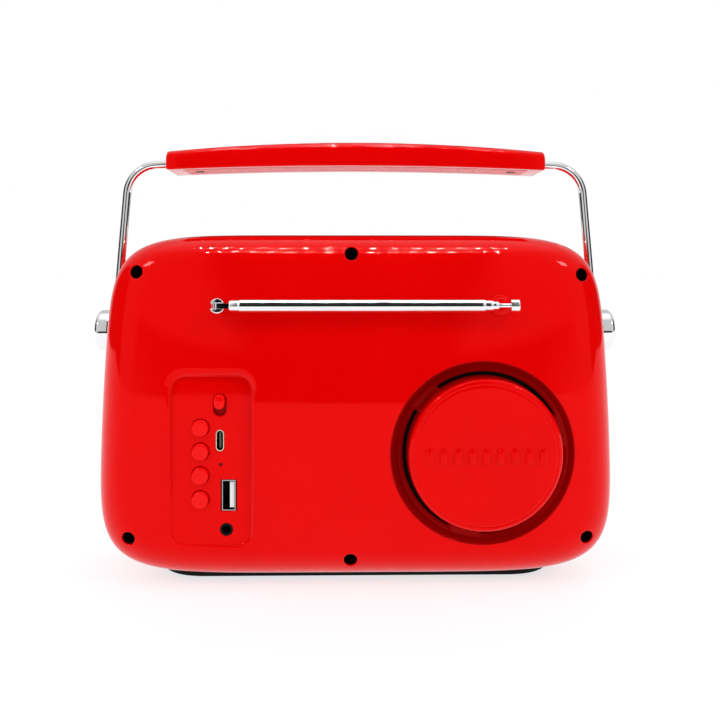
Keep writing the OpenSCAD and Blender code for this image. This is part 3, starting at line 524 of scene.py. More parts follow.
def back_skin():
    """The back's outside, from its seam to the edges of its wells, its panel's pocket and its bass dish."""
    build = Build()
    n_strip = 14
    stop = math.acos((1 - STRIP_INSET / EDGE_IN) ** (1 / RIM_POWER))
    rings = [level(inset, y) for inset, y in ((SEAM_IN, 23.98), (0.42, 24.06), (0.16, 24.2))]
    for k in range(n_strip + 1):
        a = stop * k / n_strip
        inset = EDGE_IN * (1 - math.cos(a) ** RIM_POWER)
        y = SEAM_Y + EDGE_RISE * math.sin(a) ** RIM_POWER
        rings.append([(x, y + dome(x, z) + (0.4 if k == 0 else 0), z) for x, z in outline(inset)])
    edge = build.rows(rings)[-1]
    wells = [circle_loop(*post, WELL_R + WELL_EDGE, WELL_N) for post in CASE_POSTS]
    holes = [*wells, grow(panel_loop, panel_edge), bass_ring(rim + RIM_EDGE)]
    points, index, edges = build.sheet(
        outline(STRIP_INSET), holes, back_mesh_points(), 0.35,
        lambda flat: [(x, y, z) for (x, z), y in zip(flat, back_y(flat))], edge)
    build.normals.update(zip(index, back_normals(points)))
    for post, previous in zip(CASE_POSTS, edges):
        tops = [build.verts[i][1] for i in previous]
        for sine, fall in quarter(5, 1):
            loop = circle_loop(*post, WELL_R + WELL_EDGE * (1 - sine), WELL_N)
            ring = build.points([(x, y - WELL_EDGE * fall, z) for (x, z), y in zip(loop, tops)])
            build.bridge(previous, ring)
            previous = ring
    return build


def well_liners():
    """The walls and floors of the screw wells, painted a near-black red as the shade deep in them."""
    build = Build()
    for post in CASE_POSTS:
        wall = circle_loop(*post, WELL_R, WELL_N)
        tops = back_y(circle_loop(*post, WELL_R + WELL_EDGE, WELL_N)) - WELL_EDGE
        build.rows([[(x, y, z) for (x, z), y in zip(wall, tops)],
                    [(x, y * 0.5 + WELL_FLOOR * 0.5, z) for (x, z), y in zip(wall, tops)],
                    [(x, WELL_FLOOR, z) for x, z in wall]], cap_end=True)
    return build


well_liners().make("screw_wells", painted_well_shade_mat, "cabinet", "red_shell", sharp=40, toward=(0, FAR, 80))
back_skin().make("back_skin", red_mat, "cabinet", "red_shell", replaces=("back_shell",), sharp=None,
                 away=(0, -FAR, 80))

# the panel's tray, with a hole for each key and socket
BUTTON_X, BUTTON_TOP, BUTTON_PITCH, BUTTON_R = 67.7, 71.4, 10.3, 3.65
SLIDER_X, SLIDER_Z, SLIDER_TRAVEL = 59.4, 82.8, 3.2
USB_C, LIGHT, USB_A, JACK = (59.35, 65.8), (59.0, 55.4), (55.5, 42.1), (56.5, 27.3)
HOLE_EDGE, LIGHT_EDGE, HOLE_FOOT_Y = 0.28, 0.15, 37.8


def slot_loop(x, z, w, h, n=12):
    r = w / 2
    top = [(x + r * math.cos(math.pi * k / n), z + h / 2 - r + r * math.sin(math.pi * k / n))
           for k in range(n + 1)]
    return top + [(2 * x - a, 2 * z - b) for a, b in top]


def panel_cuts():
    """The holes in the tray, each with the radius of its rounded edge."""
    wide = 2 * HOLE_EDGE
    keys = [circle_loop(BUTTON_X, BUTTON_TOP - BUTTON_PITCH * k, BUTTON_R + 0.2 + HOLE_EDGE, 48)
            for k in range(4)]
    others = [slot_loop(SLIDER_X, SLIDER_Z - SLIDER_TRAVEL / 2, 5.8 + wide, 9.9 + wide),
              slot_loop(*USB_C, 3.8 + wide, 9.5 + wide),
              round_rect_loop(*USB_A, 6.9 + wide, 13.6 + wide, 0.7, 4, 6),
              circle_loop(*JACK, 2.8 + HOLE_EDGE, 40)]
    light = circle_loop(*LIGHT, 0.8 + LIGHT_EDGE, 24)
    return [(cut, HOLE_EDGE) for cut in (*keys, *others)] + [(light, LIGHT_EDGE)]


def panel_tray():
    top_loop = grow(panel_loop, panel_edge)
    top_y = back_y(top_loop)
    foot_r = 0.35
    fall = (top_y - PANEL_Y - foot_r) * 0.8
    rings = [[(x, y, z) for (x, z), y in zip(grow(panel_loop, panel_edge * (1 - sine)), top_y - fall * drop)]
             for sine, drop in quarter(10)]
    rings += [[(x, PANEL_Y + foot_r * (1 - sine), z) for x, z in grow(panel_loop, -foot_r * inward)]
              for sine, inward in quarter(4)]
    build = Build()
    ring_rows = build.rows(rings)
    build.normals.update(zip(ring_rows[0], back_normals(top_loop)))
    cuts, edge_radii = zip(*panel_cuts())
    grid = np.array([(x, z) for x in np.arange(47, 79.5, 2.0) for z in np.arange(22, 93, 2.0)])
    grid = grid[inside_loop(grid, grow(panel_loop, -foot_r - 0.8))]
    _, index, edges = build.sheet(grow(panel_loop, -foot_r), cuts, grid, 0.6,
                                  lambda flat: [(x, PANEL_Y, z) for x, z in flat], ring_rows[-1])
    build.normals.update((i, (0, 1, 0)) for i in index)
    for cut, edge_r, previous in zip(cuts, edge_radii, edges):
        lip = [(-edge_r * sine, PANEL_Y - edge_r * drop) for sine, drop in quarter(3, 1)]
        for out, y in [*lip, (-edge_r, HOLE_FOOT_Y)]:
            ring = build.points([(x, y, z) for x, z in grow(cut, out)])
            build.bridge(previous, ring)
            previous = ring
    return build


panel_tray().make("panel_tray", red_mat, "cabinet", "red_shell", sharp=None,
                  toward=(PANEL[0], FAR, PANEL[1]))

# the dish round the bass outlet: a flared wall, then a floor with three curved slots, all in a darker red
# that is painted shade
SLOT_IN, SLOT_OUT, DISH_INNER = 33.7, 35.5, 32.6
SLOT_START, SLOT_SPAN, SLOT_DEPTH = math.radians(56), math.radians(96), 2.2


def bass_dish():
    build = Build()
    top = bass_ring(rim + RIM_EDGE)
    top_y = back_y(top)
    n = RIM_N
    rings = [bass_ring(rim + RIM_EDGE * (1 - sine), top_y - RIM_EDGE * drop * 0.9)
             for sine, drop in quarter(5)]
    foot = 0.5
    wall_top = top_y - RIM_EDGE * 0.9
    for t in (0.35, 0.7, 1.0):
        rings.append(bass_ring(rim * (1 - t) + (DISH_R + DISH_SLOPE * foot) * t,
                               wall_top * (1 - t) + (DISH_Y + foot) * t))
    rings += [bass_ring(DISH_R + 0.05, DISH_Y + 0.25), bass_ring(DISH_R - 0.15, DISH_Y + 0.05)]
    wall = build.rows(rings)
    build.normals.update(zip(wall[0], back_normals(top)))
    floor = [build.points(bass_ring(r, DISH_Y)) for r in (DISH_R - 0.3, SLOT_OUT, SLOT_IN, DISH_INNER)]
    build.bridge(wall[-1], floor[0])
    lower = [build.points(bass_ring(r, DISH_Y - SLOT_DEPTH)) for r in (SLOT_OUT, SLOT_IN)]

    def open_at(i):
        return (bass_angles[i] + TAU / n / 2 - SLOT_START) % (TAU / 3) < SLOT_SPAN

    for i in range(n):
        k = (i + 1) % n
        joined = [(floor[0], floor[1]), (floor[2], floor[3])]
        if open_at(i):
            joined += [(floor[1], lower[0]), (lower[1], floor[2])]
            if not open_at(i - 1):
                build.faces.append((floor[1][i], lower[0][i], lower[1][i], floor[2][i]))
            if not open_at(k):
                build.faces.append((floor[1][k], floor[2][k], lower[1][k], lower[0][k]))
        else:
            joined.append((floor[1], floor[2]))
        build.faces.extend((a[i], a[k], b[k], b[i]) for a, b in joined)
    return build


bass_dish().make("bass_dish", painted_shade_red_mat, "cabinet", "red_shell", sharp=35, toward=(BASS_X, FAR, BASS_Z))

# ---- bass cover

COVER_R, COVER_Y, COVER_TILT = 33.4, 46.6, math.tan(math.radians(4))
COVER_EDGE = 2.1


def cover_y(z, down=0.0):
    return COVER_Y + COVER_TILT * (z - BASS_Z) - down


def bass_cover():
    """A shallow tilted disc with a groove near its rounded edge."""
    build = Build()
    n = COVER_N
    angles = TAU * np.arange(n) / n
    profile = [(0.0, 0.0), (8, 0.0), (16, 0.0), (24, 0.0), (29.2, 0.0), (30.3, 0.0), (30.5, 0.06),
               (30.7, 0.2), (30.9, 0.2), (31.1, 0.04)]
    profile += [(COVER_R - COVER_EDGE * (1 - sine), COVER_EDGE * drop) for sine, drop in quarter(8)]
    rows = []
    for r, down in profile:
        ring = bass_ring(r, cover_y(BASS_Z + r * np.sin(angles), down), angles)
        rows.append(build.points(ring[:1]) * n if r == 0 else build.points(ring))
    rows.append(build.points(bass_ring(COVER_R, DISH_Y, angles)))
    for a, b in zip(rows, rows[1:]):
        for i in range(n):
            k = (i + 1) % n
            build.faces.append((a[i], b[i], b[k]) if a[i] == a[k] else (a[i], b[i], b[k], a[k]))
    return build


bass_cover().make("bass_cover_skin", red_mat, "cabinet", "red_shell", replaces=("bass_cover",), sharp=50,
                  away=(BASS_X, -FAR, BASS_Z))

# a plain row of raised bars across the cover
BAR_PITCH, BAR_H, BAR_W, BAR_RISE = 6.1, 6.8, 3.0, 0.9
bars = Build()
for m in range(-4, 5):
    loop = slot_loop(BASS_X + m * BAR_PITCH, BASS_Z, BAR_W, BAR_H, 10)
    bars.rows([[(x, cover_y(z) + rise, z) for x, z in grow(loop, out)]
               for out, rise in ((0.0, -0.05), (-0.05, 0.6), (-0.14, 0.8), (-0.34, BAR_RISE))], cap_end=True)
bars.make("relief_bars", red_mat, "cabinet", "red_shell", sharp=60, away=(BASS_X, -FAR, BASS_Z))

# ---- front cabinet

FRONT_Y, FRONT_ROUND, DRAFT, LIP_IN, LIP_R, FASCIA_Y, SIDE_TOP_Y = -42.0, 9.0, 3.0, 14.5, 0.6, -39.5, 23.4


def front_skin():
    build = Build()
    rings = [level(SEAM_IN, 23.99), level(0.42, 23.9), level(0.14, 23.74), level(0.03, SIDE_TOP_Y)]
    straight_end = FRONT_Y + FRONT_ROUND
    for k in range(1, 17):
        y = SIDE_TOP_Y + (straight_end - SIDE_TOP_Y) * k / 16
        rings.append(level(DRAFT * (SEAM_Y - y) / (SEAM_Y - straight_end), y))
    rings += [level(DRAFT + FRONT_ROUND * inward, straight_end - FRONT_ROUND * sine)
              for sine, inward in quarter(14, 1)]
    rings.append(level(13.2, FRONT_Y))
    rings += [level(LIP_IN - LIP_R * (1 - sine), FRONT_Y + LIP_R * down) for sine, down in quarter(4)]
    rings.append(level(LIP_IN, FASCIA_Y))
    build.rows(rings[::-1])
    return build


front_skin().make("front_skin", red_mat, "cabinet", "red_shell", replaces=("front_cabinet",), sharp=50,
                  away=(0, 100, 80))

PIVOT_Y, PIVOT_Z = -2.0, 110.4
boss_profile = [(10.2, 109.2), (9.4, 109.8), (8.7, 110.3), (8.25, 110.9),
                *rounded([(8.0, 111.3), (8.0, 112.3, 0.4), (4.0, 112.3)])]
for side, word in ((1, "left"), (-1, "right")):
    turned(f"pivot_boss_{word}", (0, PIVOT_Y, PIVOT_Z), "x" if side > 0 else "-x", boss_profile, red_mat,
           "cabinet", "red_shell")

# ---- handle

ROD_R, ROD_X, SPLAY, RISE, BEND_R = 1.95, 116.4, math.radians(4.9), math.radians(3), 14.8
GRIP_HALF, ENTRY_Z, GRIP_W = 89.3, 190.9, 27.0
corner_s = (ENTRY_Z - (ROD_X - GRIP_HALF) * math.tan(RISE) - PIVOT_Z) / (
    math.cos(SPLAY) - math.sin(SPLAY) * math.tan(RISE))
turn = math.pi / 2 - SPLAY - RISE
leg = BEND_R * math.tan(turn / 2)
corner = Vector((ROD_X - corner_s * math.sin(SPLAY), PIVOT_Z + corner_s * math.cos(SPLAY)))
bend_start = corner + leg * Vector((math.sin(SPLAY), -math.cos(SPLAY)))
bend_centre = bend_start - BEND_R * Vector((math.cos(SPLAY), math.sin(SPLAY)))
bend_end = corner + leg * Vector((-math.cos(RISE), math.sin(RISE)))
ROD_END_X = 71
EYE_IN, EYE_OUT, EYE_R, EYE_BORE_R = 113.3, 116.7, 6.5, 4.05
# up to this far above the pivot, the rod's outside is level with its eye's face
FLAT_TOP = 9.5


def rod_path():
    """The rod's centre line in x and z, from its eye to its end inside the grip."""
    foot = Vector((ROD_X, PIVOT_Z + 5.2)) - Vector((5.2 * math.tan(SPLAY), 0))
    path = [foot.lerp(bend_start, k / 12) for k in range(12)]
    for k in range(25):
        a = SPLAY + turn * k / 24
        path.append(bend_centre + BEND_R * Vector((math.cos(a), math.sin(a))))
    inner = bend_end + (bend_end.x - ROD_END_X) * Vector((-1, math.tan(RISE)))
    path += [path[-1].lerp(inner, k / 6) for k in range(1, 7)]
    return path


def handle_rod(side, word):
    build = Build()
    path = rod_path()
    rings = []
    for i, p in enumerate(path):
        along = (path[min(i + 1, len(path) - 1)] - path[max(i - 1, 0)]).normalized()
        out = Vector((along.y, -along.x))
        ring = []
        for k in range(28):
            a = TAU * k / 28
            q = p + out * (ROD_R * math.cos(a))
            flat = EYE_OUT + 3 * max(0.0, q.y - PIVOT_Z - FLAT_TOP)
            ring.append((side * min(q.x, flat), PIVOT_Y + ROD_R * math.sin(a), q.y))
        rings.append(ring if side > 0 else ring[::-1])
    build.rows(rings, cap_start=True, cap_end=True)
    eye = rounded([(EYE_BORE_R, EYE_IN, 0.25), (EYE_R, EYE_IN, 0.9), (EYE_R, EYE_OUT, 0.9),
                   (EYE_BORE_R, EYE_OUT, 0.25)], 4, True)
    lathe(build, (0, PIVOT_Y, PIVOT_Z), "x" if side > 0 else "-x", [*eye, eye[0]], 56)
    build.make(f"handle_rod_{word}_skin", chrome_mat, "handle", "chrome", replaces=(f"handle_rod_{word}",),
               sharp=50)


handle_rod(-1, "left")
handle_rod(1, "right")

CAP_X, CAP_OUT, CAP_R, CAP_SIDE = 117.3, 125.2, 10.0, 5.3
cap_profile = [(2.5, CAP_X), *rounded([(6, CAP_X), (CAP_R - 0.4, CAP_X), (CAP_R, CAP_X, 0.4),
                                       (CAP_R, CAP_X + 0.8), (CAP_R, CAP_X + 4.2),
                                       (CAP_R - 0.02, CAP_X + 4.8), (CAP_R - 0.1, CAP_X + CAP_SIDE)])]
cap_profile += [((CAP_R - 0.2) * math.cos(a), CAP_X + CAP_SIDE + (CAP_OUT - CAP_X - CAP_SIDE) * math.sin(a))
                for a in np.linspace(0.2, math.pi / 2, 14)]
cap_profile[-1] = (0.0, CAP_OUT)
caps = Build()
for axis in ("x", "-x"):
    lathe(caps, (0, PIVOT_Y, PIVOT_Z), axis, cap_profile, 72)
caps.make("pivot_cap_domes", chrome_mat, "cabinet", "chrome", replaces=("pivot_caps",), sharp=50)

GRIP_LOW, GRIP_HIGH, LOW_RISE, HIGH_RISE = 186.8, 195.6, 2.0, 4.3
GRIP_END_R, GRIP_TOP_R, GRIP_LOW_R = 1.3, 3.5, 0.9


def grip_bottom(x):
    return GRIP_LOW + LOW_RISE * (1 - (x / GRIP_HALF) ** 2)


def grip_section(x, trim, n=10):
    """The grip's cross section at x, as (y, z), counter-clockwise seen from +x."""
    low, high = grip_bottom(x) + trim * 0.5, GRIP_HIGH + HIGH_RISE * (1 - (x / GRIP_HALF) ** 2) - trim
    half = GRIP_W / 2 - trim
    points = []
    for cy, cz, r, start in ((half - GRIP_TOP_R, high - GRIP_TOP_R, GRIP_TOP_R, 0),
                             (-half + GRIP_TOP_R, high - GRIP_TOP_R, GRIP_TOP_R, 90),
                             (-half + GRIP_LOW_R, low + GRIP_LOW_R, GRIP_LOW_R, 180),
                             (half - GRIP_LOW_R, low + GRIP_LOW_R, GRIP_LOW_R, 270)):
        for k in range(n + 1):
            a = math.radians(start + 90 * k / n)
            points.append((cy + r * math.cos(a), cz + r * math.sin(a)))
    return points


def grip():
    build = Build()
    ends = [(GRIP_HALF - GRIP_END_R * inward, GRIP_END_R * (1 - sine)) for sine, inward in quarter(8)]
    straight = GRIP_HALF - GRIP_END_R
    stations = [*ends, *((x, 0.0) for x in np.linspace(straight, -straight, 42)[1:-1]),
                *((-x, trim) for x, trim in ends[::-1])]
    rings = [[(x, PIVOT_Y + y, z) for y, z in grip_section(x, trim)] for x, trim in stations]
    build.rows(rings, cap_start=True, cap_end=True)
    return build


grip().make("grip_skin", red_mat, "handle", "red_shell", replaces=("handle_grip",), sharp=55)

SCREW_X, COVER_PROUD = 75.5, 0.12


def grip_under():
    """The cover let into the grip's underside, with a countersunk hole at each end."""
    build = Build()
    border = round_rect_loop(0, 0, 2 * GRIP_HALF - 14.3, GRIP_W - 8.3, 1.2, 5, 30)
    screws = (-SCREW_X, SCREW_X)
    holes = [circle_loop(x, 0, 2.5, 36) for x in screws]
    grid = np.array([(x, y) for x in np.arange(-80, 81, 4.0) for y in np.arange(-7, 8, 3.5)])
    grid = grid[inside_loop(grid, grow(border, -1.0))]
    flat = grow(border, -0.4)

    def lift(points, up=0.0):
        return [(x, PIVOT_Y + y, grip_bottom(x) - COVER_PROUD + up) for x, y in points]

    def skirt(previous, steps):
        for loop, up in steps:
            ring = build.points(lift(loop, up))
            build.bridge(ring, previous)
            previous = ring

    _, index, edges = build.sheet(flat, holes, grid, 0.8, lift)
    skirt(index[:len(flat)], [(grow(border, out), up)
                              for out, up in ((-0.22, 0.05), (-0.08, 0.16), (0.0, 0.35), (0.0, 0.9))])
    for x, edge in zip(screws, edges):
        skirt(edge, [(circle_loop(x, 0, r, 36), up)
                     for r, up in ((2.32, 0.08), (2.2, 0.25), (2.2, 1.5), (1.4, 1.5), (1.4, 2.6))])
    return build


grip_under().make("grip_cover_skin", red_satin_mat, "handle", "red_shell", replaces=("grip_cover",), sharp=40,
                  toward=(0, 0, -FAR))

# ---- aerial

AX, AY, AZ = 58.8, 49.0, 124.6
# each tube's body, radius, and where it starts and ends along X
TUBES = [("aerial_tube_1", "aerial_mast", 2.75, 53.2, -54.5),
         ("aerial_tube_2", "aerial_second", 2.3, 47.8, -57.9),
         ("aerial_tube_3", "aerial_third", 1.85, 45.3, -60.1)]
for name, body, r, x0, x1 in TUBES:
    length = x0 - x1
    neck = [(r - 0.4, 0.0), (r, 0.2), (r, 0.5)]
    if name == "aerial_tube_1":
        neck = [(1.7, -1.0), (2.1, -0.9), (2.4, -0.5), (2.45, 0.0), (2.5, 2.8), (2.52, 3.2), (r, 3.5),
                (r, 4.0)]
    tail = [(r, length - 1.6), (r, length - 0.35), (r - 0.12, length - 0.08), (r - 0.3, length),
            (r - 0.4, length - 0.15), (r - 0.4, length - 6)]
    turned(name + "_skin", (x0, AY, AZ), "-x", [(0.0, neck[0][1]), *neck, *tail], chrome_mat, body, "chrome",
           48, replaces=(name,), sharp=50)
ROD_START, THIN_R, THIN_L = 42.8, 0.95, 107.9
rod_profile = [(0, 0), *rounded([(0.6, 0), (THIN_R, 0, 0.2), (THIN_R, 1), (THIN_R, THIN_L - 0.5),
                                 (THIN_R, THIN_L)]), (0, THIN_L)]
turned("aerial_rod_skin", (ROD_START, AY, AZ), "-x", rod_profile, chrome_mat, "aerial_last", "chrome", 32,
       replaces=("aerial_rod",), sharp=50)
TIP_R, TIP_L = 2.8, 3.7
tip_profile = rounded([(0, 0), (2.6, 0), (TIP_R, 0, 0.2), (TIP_R, 0.6), (TIP_R, 3.0), (TIP_R, TIP_L, 0.4),
                       (2.2, TIP_L), (0, TIP_L)])
turned("aerial_tip_skin", (ROD_START - THIN_L, AY, AZ), "-x", tip_profile, chrome_mat, "aerial_last",
       "chrome", 48, replaces=("aerial_tip",), sharp=50)

CHEEK_R, CHEEK_GAP, CHEEK_FOOT, CHEEK_TOP, CHEEK_EDGE = 3.2, 1.1, 45.9, 51.6, 0.45


def cheek(side, shrink):
    """Half of a split disc, as (x, z), shrunk for its rounded edge."""
    r = CHEEK_R - shrink
    start = math.asin((CHEEK_GAP + shrink * 0.6) / r)
    angles = np.linspace(start, math.pi - start, 24)[::-side]
    return [(AX + r * math.cos(a), AZ + side * r * math.sin(a)) for a in angles]


def swivel():
    """The post that the aerial tilts in: a round foot and two cheeks with a gap between them."""
    build = Build()
    lathe(build, (AX, 0, AZ), "y", rounded([(2.0, 38.1), (2.0, 43.0), (3.2, 43.0, 0.2), (3.2, 46.0, 0.05),
                                            (0, 46.0)], 3), 56)
    for side in (-1, 1):
        edge = [(CHEEK_EDGE * inward, CHEEK_TOP - CHEEK_EDGE * (1 - sine)) for sine, inward in quarter(4)]
        build.rows([[(x, y, z) for x, z in cheek(side, shrink)] for shrink, y in [(0, CHEEK_FOOT), *edge]],
                   cap_end=True)
    build.make("aerial_swivel_skin", chrome_mat, "aerial_base", "chrome", replaces=("aerial_swivel",),
               sharp=45)


def tongue():
    """The flat end of the thickest tube, between the cheeks, rounded about the pivot."""
    half, r, foot = 1.0, 2.2, AX - 5.8
    arc = [(AX + r * math.sin(a), AY + r * math.cos(a)) for a in np.linspace(0, math.pi, 25)]
    loop = [(foot, AY + r), *arc, (foot, AY - r)]
    build = Build()
    build.rows([[(x, y, z) for x, y in loop] for z in (AZ - half, AZ + half)], cap_start=True, cap_end=True)
    build.make("aerial_tongue", chrome_mat, "aerial_mast", "chrome", sharp=40)


swivel()
tongue()
REST_X = -61.7
rest_profile = rounded([(4.6, 41.0), (4.6, 44.5, 1.1), (3.0, 44.9, 0.5), (3.0, 46.4, 0.5), (0, 46.4)])
turned("aerial_rest_skin", (REST_X, 0, AZ), "y", rest_profile, red_mat, "cabinet", "red_shell", 56,
       replaces=("aerial_rest",), sharp=50)

# ---- keys

KEYS = ["mode", "previous", "play", "next"]
KEY_FOOT = 37.4
key_profile = rounded([(BUTTON_R, KEY_FOOT), (BUTTON_R, 42.2, 0.75), (0, 42.05)], 6)
for i, name in enumerate(KEYS):
    z = BUTTON_TOP - i * BUTTON_PITCH
    turned(f"key_{name}", (BUTTON_X, 0, z), "y", key_profile, key_mat, f"{name}_key", "red_shell", 56,
           replaces=(f"button_{name}",), sharp=50)

SLIDER_TOP, SLIDER_EDGE = 42.4, 0.8
slider = Build()
cap_loop = slot_loop(SLIDER_X, SLIDER_Z, 4.8, 6.5, 16)
edge = [(-SLIDER_EDGE * inward, SLIDER_TOP - SLIDER_EDGE * (1 - sine)) for sine, inward in quarter(6)]
slider.rows([[(x, y, z) for x, z in grow(cap_loop, out)] for out, y in [(0, KEY_FOOT), *edge]], cap_end=True)
slider.make("power_slider_cap", key_mat, "power_key", "red_shell", replaces=("power_slider",), sharp=50)
# the flat part below the cap, which closes its slot at either end of its travel, in a darker red that is
# painted shade
runner = Build()
runner_loop = [(SLIDER_X + across, SLIDER_Z + up)
               for across, up in ((-3.5, -8), (3.5, -8), (3.5, 7.6), (-3.5, 7.6))]
runner.rows([[(x, y, z) for x, z in runner_loop] for y in (36.2, 37.6)], cap_start=True, cap_end=True)
runner.make("power_slider_runner", painted_shade_red_mat, "power_key", "red_shell", sharp=30)

# ---- front controls

KNOB_R, FLUTES, FLUTE_DEPTH = 11.0, 24, 0.55
KNOBS = [("tuning_knob", "tuning", (75, 34)), ("volume_knob", "volume", (37, 34))]
knob_profile = rounded([(3.0, 0.2), (12.0, 0.2, 0.3), (12.0, 2.4, 0.6), (KNOB_R, 2.8, 0.4),
                        (KNOB_R, 13.4, 1.0), (9.0, 13.4, 0.3), (8.6, 12.7, 0.3), (0, 12.5)], 5)


def flute(j, angle):
    """How much a knob's grip changes its radius, at a point of its profile and an angle."""
    r, h = knob_profile[j]
    if 3.2 < h < 13.2 and r > 10.4:
        return -FLUTE_DEPTH * max(0.0, math.cos(FLUTES * angle)) ** 3
    return 0.0


for name, body, (x, z) in KNOBS:
    build = Build()
    lathe(build, (x, FASCIA_Y - 0.4, z), "-y", knob_profile, 12 * FLUTES, flute)
    build.make(name + "_skin", satin_metal_mat, body, "chrome", replaces=(name,), sharp=50)
    mark = Build()
    loop = slot_loop(x, z + 6.0, 0.9, 4.4, 6)[::-1]
    mark.rows([[(a, FASCIA_Y - out, b) for a, b in loop] for out in (12.98, 13.35)], cap_end=True)
    mark.make(name + "_mark", ink_mat, body, "chrome", sharp=30)

DIAL = (56.0, 92.0)
DIAL_R, MARKS_Y = 36.0, -38.74
bezel_profile = rounded([(DIAL_R + out, h, *edge) for out, h, *edge in (
    (-3.4, 0.0), (2.5, 0.0), (2.5, 1.6, 0.6), (1.5, 3.0, 0.8), (0.2, 3.4, 0.8), (-1.4, 2.9, 0.8),
    (-3.4, 1.4, 0.2))])
turned("dial_bezel_skin", (DIAL[0], FASCIA_Y, DIAL[1]), "-y", [*bezel_profile, bezel_profile[0]], chrome_mat,
       "cabinet", "chrome", 128, replaces=("dial_bezel",), sharp=50)


def dial_direction(degrees):
    """A unit vector in x and z, clockwise from the top as seen from the front."""
    return Vector((math.sin(math.radians(degrees)), math.cos(math.radians(degrees))))


def dial_marks():
    """Ticks round the scale and a thin ring inside them, in front of the scale disc."""
    build = Build()
    for k in range(61):
        major = k % 10 == 0
        inner, outer, half = (26.0 if major else 28.2 if k % 5 == 0 else 29.2), 31.2, 0.34 if major else 0.2
        direction = dial_direction(4 * k - 120)
        across = Vector((direction.y, -direction.x))
        flat = [direction * q + across * h
                for q, h in ((inner, -half), (outer, -half), (outer, half), (inner, half))]
        build.rows([[(DIAL[0] + p.x, y, DIAL[1] + p.y) for p in flat] for y in (MARKS_Y + 0.06, MARKS_Y)],
                   cap_end=True)
    ring_profile = [(24.3, 38.69), (24.3, 38.75), (24.6, 38.75), (24.6, 38.69)]
    lathe(build, (DIAL[0], 0, DIAL[1]), "-y", ring_profile, 128)
    build.make("dial_ticks", ink_mat, "cabinet", "cream_panel", sharp=30)


dial_marks()
NUMBER_RING, NUMBER_SIZE = 21.4, 4.6
for k, word in enumerate(("88", "92", "96", "100", "104", "108")):
    curve = bpy.data.curves.new(f"dial_number_{word}", "FONT")
    curve.body, curve.size, curve.extrude = word, NUMBER_SIZE * MM, 0.03 * MM
    curve.align_x = curve.align_y = "CENTER"
    number = bpy.data.objects.new(f"dial_number_{word}", curve)
    bpy.context.scene.collection.objects.link(number)
    x, z = Vector(DIAL) + NUMBER_RING * dial_direction(48 * k - 120)
    number.location = (x * MM, MARKS_Y * MM, z * MM)
    number.rotation_euler = (math.pi / 2, 0, 0)
    curve.materials.append(ink_mat)
    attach(number, "cabinet")

GRILLE_X, GRILLE_Z, GRILLE_W, GRILLE_H, SLAT_R, SLATS = -43.0, 79.5, 97.7, 102.7, 1.3, 13


def grille():
    """A chrome frame with round slats across it."""
    build = Build()
    inner = [(-2.5, -37.3), (-2.5, -40.0), (-2.1, -40.4), (-1.4, -40.5)]
    outer = [(-0.5, -40.5), (-0.1, -40.35), (0.0, -40.0), (0.0, -37.3)]
    base = round_rect_loop(GRILLE_X, GRILLE_Z, GRILLE_W, GRILLE_H, 13.85, 14, 12)
    build.rows([[(x, y, z) for x, z in grow(base, out)] for out, y in [*inner, *outer][::-1]])
    pitch = (GRILLE_H - 6) / SLATS
    for i in range(1, SLATS):
        z = GRILLE_Z - GRILLE_H / 2 + 3 + i * pitch
        half = GRILLE_W / 2 - 1.6
        profile = rounded([(0, -half), (SLAT_R, -half, 0.4), (SLAT_R, half, 0.4), (0, half)])
        lathe(build, (GRILLE_X, FASCIA_Y + 0.6, z), "x", profile, 24)
    build.make("front_grille_skin", chrome_mat, "cabinet", "chrome", replaces=("front_grille",), sharp=50)


grille()

# ---- the CAD parts that stay

NODE_MATERIALS = {"usb_a_shell": socket_a_mat, "usb_c_shell": socket_c_mat, "usb_c_tongue": tongue_mat}
slots = {part["node"]: part["material_slot"] for part in frame["record"]["subparts"]}
for name, obj in frame["nodes"].items():
    obj.data.materials.clear()
    obj.data.materials.append(NODE_MATERIALS.get(name, SLOT_MATERIALS[slots[name]]))

# ---- studio

FLOOR_SIZE, FLOOR_SHIFT = 6.0, -2.4
bpy.ops.mesh.primitive_grid_add(x_subdivisions=8, y_subdivisions=8, size=FLOOR_SIZE,
                                location=(0, FLOOR_SHIFT, 0))
floor = bpy.context.object
floor.name = "studio_floor"
floor.data.materials.append(surface("studio_paper", (0.30, 0.31, 0.31), (0.33, 0.34, 0.34), (0.5, 0.6),
                                    tone_scale=6.0, grain=400.0, grain_depth=0.02, Specular_IOR_Level=0.0,
                                    Emission_Color=(0.98, 0.98, 1.0, 1), Emission_Strength=0.73))

world = bpy.data.worlds.new("studio_world")
bpy.context.scene.world = world
world.use_nodes = True
tree = world.node_tree
for node in list(tree.nodes):
    tree.nodes.remove(node)


def math_node(operation, *values):
    node = tree.nodes.new("ShaderNodeMath")
    node.operation = operation
    for socket, value in zip(node.inputs, values):
        feed(tree, socket, value)
    return node.outputs["Value"]


def grey_ramp(source, stops):
    node = tree.nodes.new("ShaderNodeValToRGB")
    tree.links.new(source, node.inputs["Fac"])
    ends = node.color_ramp.elements
    ends[0].position, ends[-1].position = stops[0][0], stops[-1][0]
    ends[0].color, ends[-1].color = ((*[v] * 3, 1) for v in (stops[0][1], stops[-1][1]))
    for position, value in stops[1:-1]:
        ends.new(position).color = (*[value] * 3, 1)
    return node.outputs["Color"]


def mix_shader(share, first, second):
    """first where share is 0, second where it is 1."""
    node = tree.nodes.new("ShaderNodeMixShader")
    for socket, value in zip(node.inputs, (share, first, second)):
        feed(tree, socket, value)
    return node.outputs["Shader"]


